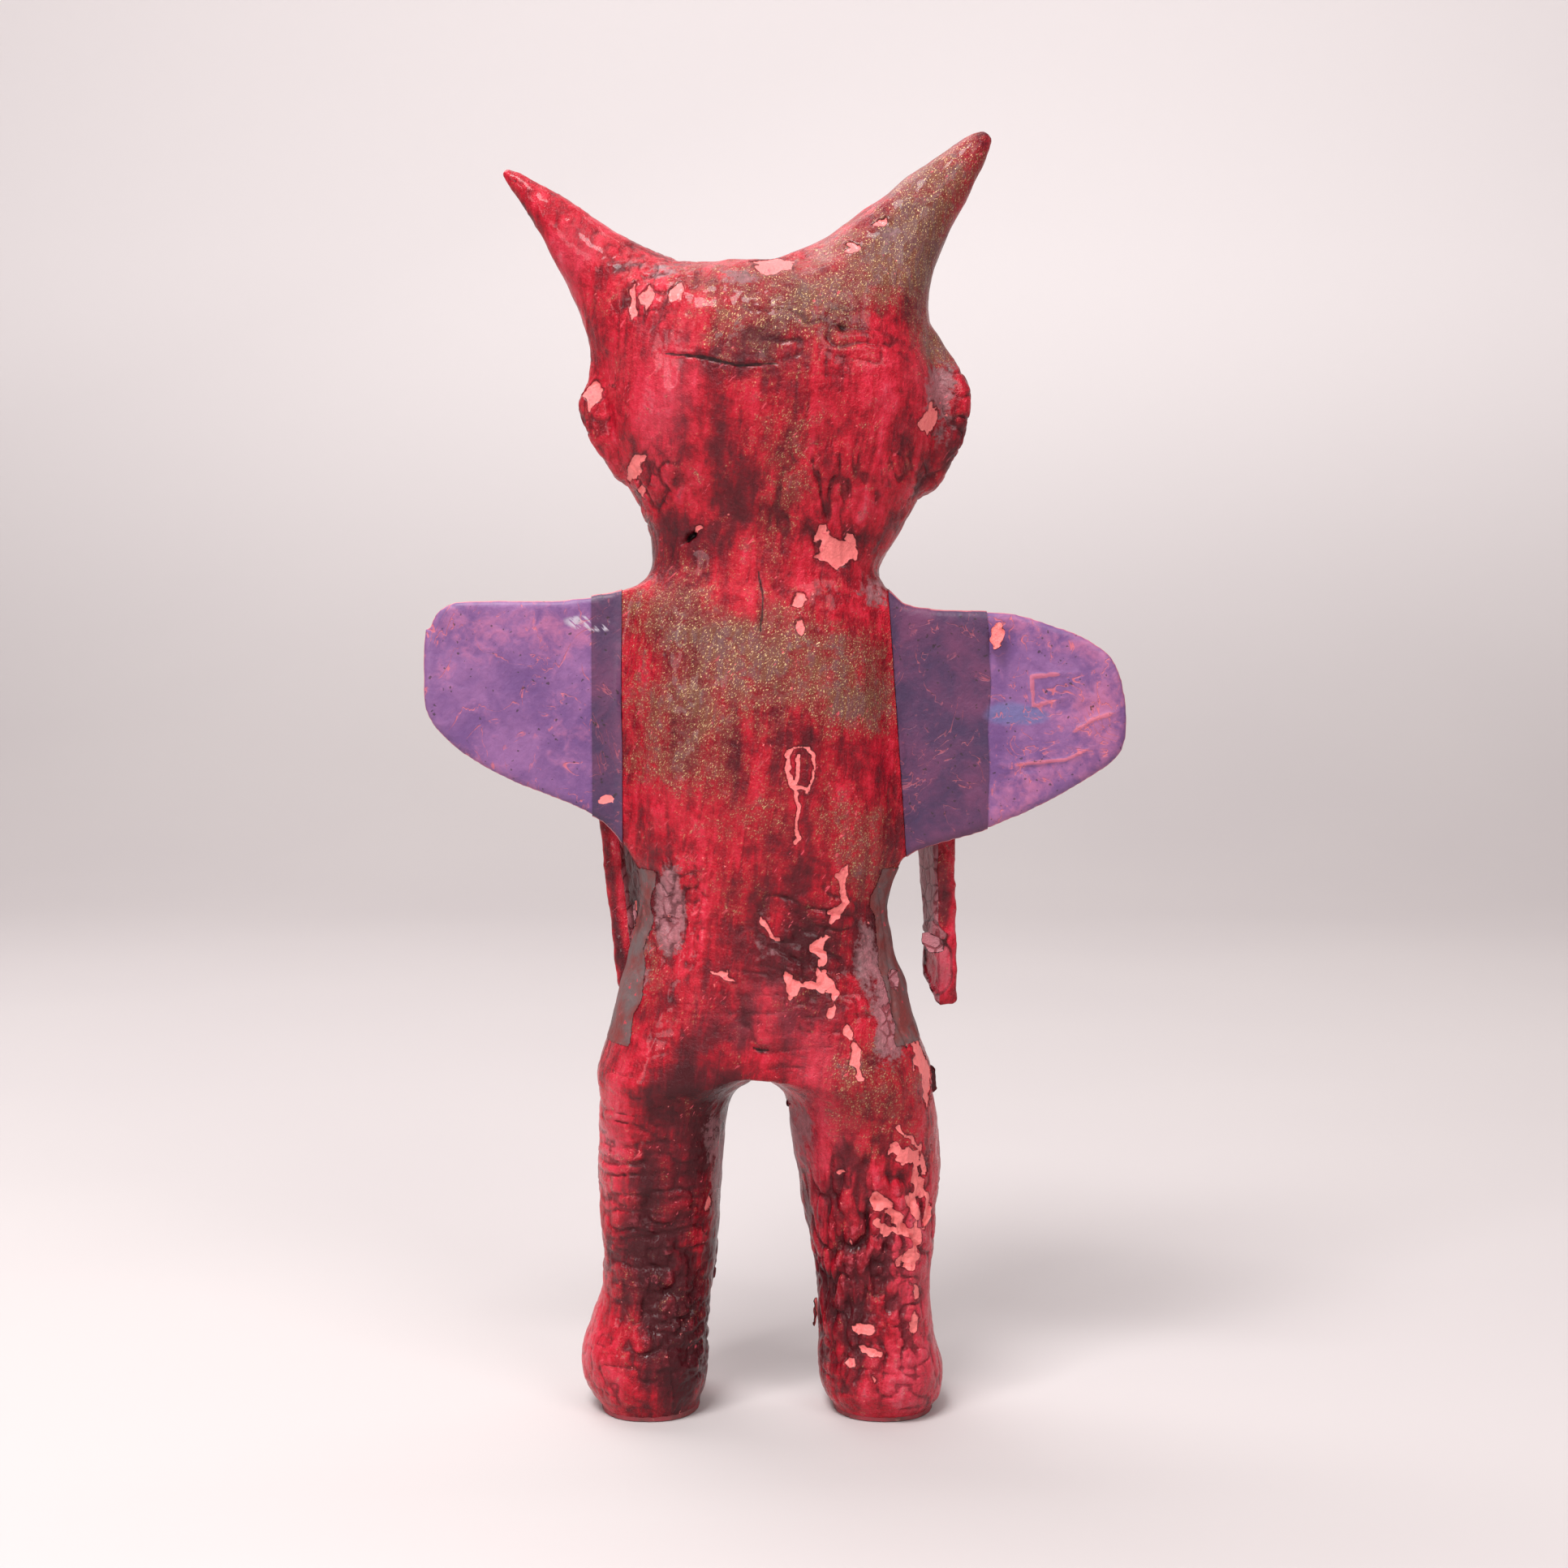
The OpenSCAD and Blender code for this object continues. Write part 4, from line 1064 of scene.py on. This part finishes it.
def sculpted(node, slot_name, cell, fine_grain, fine_height, extra):
    """A hand-smoothed copy of a solid CAD node, with small dents and its own wear fields."""
    low, high = node_box(node)
    grid = Grid(low - 1, high + 1, cell)
    at, faces = grid.surface(soften(grid.mesh_field(node, 3)) - SMOOTHING_LOSS)
    at = relax(at, faces, 0.5, 2)
    at, faces = refine(at, faces)
    normal = point_normals(at, faces)
    worn = wear_fields(at, normal)
    rise = fine_height * (noise(at, fine_grain, 90) + 0.5 * noise(at, np.array(fine_grain) / 2.5, 91))
    zones, marks = np.stack(worn["zones"], 1), np.stack(worn["marks"], 1)
    rise, zones, marks = extra(at, normal, rise, zones, marks)
    at = at + normal * rise[:, None]
    normal = point_normals(at, faces)
    values = {"zones": zones, "marks": marks, "tones": zones * 0}
    made = mesh_object(f"{node}_form", at, [faces], normal, values)
    stands_for(made, node, slot_name)


# What each arm's bare inner side and torn end look like, seen from behind, and where painted shade darkens
# the turn of each arm's rounded back.
ARM_PANEL = (36.6, 98.6, 3.1, 6.6, -8)
ARM_SCAR = (36, 106.4, 3.0, 1.7, -40)
ARM_SHADE_BANDS = [(37, 121, 1.6, 5), (37.6, 112, 1.4, 4), (-36.6, 118, 1.1, 12, 6), (-34.6, 102, 0.9, 6, 6)]


def arm_wear(side):
    """Wear and painted shade of one arm: bare grey paper on its inner side, dark bands of painted shade
    where its rounded back turns, and on the right one a bare, torn end.
    """

    def change(at, normal, rise, zones, marks):
        inward = -side * normal[:, 0]
        zones = zones * 0.3
        zones[:, 2] = 1.2 * smoothstep(0.05, 0.5, inward + 0.2 * noise(at, 5, 97))
        # Dark bands along the arm are painted shade where its rounded back turns inwards.
        zones[:, 1] += sum(1.1 * spot(at, *place) for place in ARM_SHADE_BANDS)
        zones[:, 3] = 0.4
        rise = rise + 0.25 * ridges(at, (6, 6, 5), 98) * (inward < 0.4)
        marks[:, 0] = 9.0
        if side > 0:
            behind = normal[:, 1] < -0.2
            panel = spot_distance(at, *ARM_PANEL) + 0.5 * noise(at, 3, 99)
            scar = torn_distance(at, *ARM_SCAR) + 0.4 * noise(at, 2, 97)
            inside = smoothstep(0.3, -0.3, panel) * behind
            bare = smoothstep(0.2, -0.2, scar) * behind
            rim = np.exp(-((panel / 0.35) ** 2)) + np.exp(-((scar / 0.3) ** 2))
            zones *= (1 - inside)[:, None]
            zones[:, 3] += 1.6 * inside
            zones[:, 2] += 0.6 * bare
            # The rims of the panel and the scar are painted dark through the crack field: painted shade
            # along their torn edges.
            marks[:, 3] = np.maximum(marks[:, 3], 0.7 * rim * behind)
            rise = rise - 0.6 * inside + 0.5 * bare
        return rise, zones, marks

    return change


def eye_paint(at, normal, rise, zones, marks):
    """A painted iris and pupil in the middle of the eye's front."""
    middle = (at.min(0) + at.max(0)) / 2
    away = np.hypot(at[:, 0] - middle[0], at[:, 2] - middle[2])
    facing = normal[:, 1] > 0.2
    zones = np.zeros_like(zones)
    zones[:, 0] = np.where(facing, away, 99)
    return rise * 0.4, zones, marks


def untouched(at, normal, rise, zones, marks):
    return rise, zones * 0.3, marks * 0 + np.array([9.0, 0, 0, 0])


sculpted("arm_left", "red_mache", 0.75, 3.5, 0.25, arm_wear(-1))
sculpted("arm_right", "red_mache", 0.75, 3.5, 0.25, arm_wear(1))
for node in ("eye_left", "eye_right"):
    sculpted(node, "eye_white", 0.6, 4, 0.12, eye_paint)
sculpted("nose", "red_mache", 0.6, 4, 0.4, untouched)
sculpted("lips", "lip_paint", 0.6, 3, 0.3, untouched)
sculpted("teeth", "tooth_white", 0.3, 1.5, 0.1, untouched)
sculpted("chin_beard", "black_paint", 0.5, (1, 1, 6), 0.5, untouched)

for node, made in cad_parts.items():
    for place, old in enumerate(made.data.materials):
        made.data.materials[place] = LOOKS[old.name.split(".")[0]]


# ---------------- paint flakes that curl off the surface

# Each has its middle, width and height in millimetres, turns about Y and Z in degrees, curl and colouring.
CURLS = {
    "hip": ((34.6, -6.0, 74.0), (2.2, 6.4), 8, 60, 0.9, "dark"),
    "shin": ((9.4, -8.0, 22.0), (2.6, 6.4), -6, -50, 1.5, "dark"),
    "crotch": ((3.3, -9.0, 69.6), (2.0, 1.8), 20, -40, 0.8, "dark"),
    "arm": ((34.8, -6.4, 104.8), (6.0, 3.6), -38, 12, 1.2, "grey"),
    "wing": ((48.0, -13.2, 173.0), (2.6, 6.2), -12, 20, 1.2, "coral"),
    "thigh": ((33.2, -12.0, 58.5), (3.0, 5.0), 12, 40, 1.3, "coral"),
    "knee": ((32.6, -13.0, 45.0), (2.4, 4.4), -14, 38, 1.3, "coral"),
    "flank_low": ((25.6, -15.6, 98.0), (1.6, 5.0), 6, 40, 1.0, "grey"),
    "flank_high": ((-30.4, -12.0, 112.0), (1.8, 6.0), -4, -40, 1.0, "grey"),
}
CURL_ROWS, CURL_COLUMNS, CURL_THICK = 14, 10, 0.28
CURL_ZONES = {"dark": (0, 1.0, 0, 0), "grey": (0, 0, 1.3, 0), "coral": (0, 0, 0, 1.0)}


def curled_flake(name, middle, size, turn, swing, curl, coloring):
    """A thin torn chip of paint, bent outwards along its length."""
    u, v = np.meshgrid(np.linspace(-1, 1, CURL_COLUMNS), np.linspace(-1, 1, CURL_ROWS))
    u, v = u.ravel(), v.ravel()
    torn = 1 - 0.55 * np.abs(v) ** 1.5
    at = np.stack([u * torn * size[0] / 2, np.zeros_like(u), v * size[1] / 2 * (1 - 0.2 * u * u)], 1)
    ragged = np.abs(u) ** 3 + np.abs(v) ** 3
    shake = [noise(at + middle, 1.1, 100 + n) for n in range(3)]
    at += 0.35 * np.stack(shake, 1) * (0.3 + ragged)[:, None]
    at[:, 1] = -curl * (0.5 * (u + 1)) ** 2 - 0.25 * curl * v * v
    for angle, (i, j) in ((turn, (0, 2)), (swing, (0, 1))):
        a = math.radians(angle)
        first, second = at[:, i].copy(), at[:, j].copy()
        at[:, i] = first * math.cos(a) - second * math.sin(a)
        at[:, j] = first * math.sin(a) + second * math.cos(a)
    at += np.array(middle)
    corner = (np.arange(CURL_ROWS - 1)[:, None] * CURL_COLUMNS + np.arange(CURL_COLUMNS - 1)).ravel()
    faces = np.stack([corner, corner + 1, corner + 1 + CURL_COLUMNS, corner + CURL_COLUMNS], 1)
    normal = point_normals(at, faces)
    count = len(at)
    values = {"zones": np.tile(CURL_ZONES[coloring], (2 * count, 1)).astype(float)}
    flake = np.full(2 * count, -1.0 if coloring == "coral" else 9.0)
    flake[count:] = -1.0
    values["marks"] = np.stack([flake, flake * 0, flake * 0, flake * 0], 1)
    made = closed_sheet(name, at, at - normal * CURL_THICK, faces, normal, values)
    stands_for(made, None, "red_mache")


for name, facts in CURLS.items():
    curled_flake(f"paint_curl_{name}", *facts)


# ---------------- floor, light and camera


def floor_finish():
    p = Paint("pale_floor")
    rise = p.add("ShaderNodeSeparateXYZ", [("Vector", p.place)]).outputs["Z"]
    cloud = p.step(0.3, 0.7, p.noise(0.6, 3))
    color = p.mix(cloud, (0.51, 0.465, 0.465, 1), (0.54, 0.495, 0.49, 1))
    color = p.over(color, (0.88, 0.82, 0.82, 1), p.step(0.0, 0.5, rise))
    p.feed(p.shader.inputs["Base Color"], color)
    p.shader.inputs["Roughness"].default_value = 0.7
    return p.material


def soft_light(name, place, aim, width, height, power):
    data = bpy.data.lights.new(name, "AREA")
    data.shape = "RECTANGLE"
    data.size, data.size_y, data.energy = width, height, power
    lamp = add_object(name, data)
    lamp.location = place
    lamp.rotation_euler = (Vector(aim) - Vector(place)).to_track_quat("-Z", "Y").to_euler()


# The floor lies this far under the soles, in metres, so that the two never share a plane.
FLOOR_GAP = 0.0002


def sweep(name, half_width, front, back, bend, top):
    """A floor that rises behind the figure in one curve."""
    turns = [math.radians(a) for a in range(0, 91, 5)]
    profile = [(front, 0.0)] + [(back + bend * math.sin(t), bend * (1 - math.cos(t))) for t in turns]
    profile.append((back + bend, top))
    left, right = ([(x, y, z - FLOOR_GAP) for y, z in profile] for x in (-half_width, half_width))
    count = len(profile)
    faces = [(i + count, i + count + 1, i + 1, i) for i in range(count - 1)]
    mesh = bpy.data.meshes.new(name)
    mesh.from_pydata(left + right, [], faces)
    mesh.shade_smooth()
    mesh.materials.append(floor_finish())
    return add_object(name, mesh)


floor = sweep("floor", 4.0, -4.0, 0.9, 0.7, 4.0)

world = bpy.data.worlds.new("pale_room")
bpy.context.scene.world = world
world.use_nodes = True
world.node_tree.nodes["Background"].inputs["Color"].default_value = (0.76, 0.70, 0.70, 1)
world.node_tree.nodes["Background"].inputs["Strength"].default_value = 0.45
bpy.context.scene.view_settings.view_transform = "Standard"

MIDDLE = (0.0, SPINE_Y * MM, 0.14)
soft_light("overhead", (-0.25, -0.5, 1.05), MIDDLE, 0.4, 0.3, 12.0)
soft_light("behind_camera", (0.7, -1.0, 1.0), MIDDLE, 0.6, 0.5, 7.0)
soft_light("far_side", (-0.5, 0.5, 1.0), MIDDLE, 0.8, 0.6, 6.0)
soft_light("window", (-0.75, -0.8, 0.4), MIDDLE, 0.2, 0.5, 3.0)
soft_light("wall_wash", (0.0, 0.4, 1.6), (0.0, 1.6, 0.5), 1.4, 0.4, 10.0)

CAMERA_RANGE, CAMERA_DROP, AIM = 0.54, math.radians(4), Vector((0.002, SPINE_Y * MM, 0.140))
lens = bpy.data.cameras.new("camera")
lens.sensor_width, lens.lens = 36, 55.9
lens.clip_start, lens.clip_end = 0.01, 30
camera = add_object("camera", lens)
away = Vector((0, -math.cos(CAMERA_DROP), math.sin(CAMERA_DROP)))
camera.location = AIM + away * CAMERA_RANGE
camera.rotation_euler = (-away).to_track_quat("-Z", "Y").to_euler()
bpy.context.scene.camera = camera
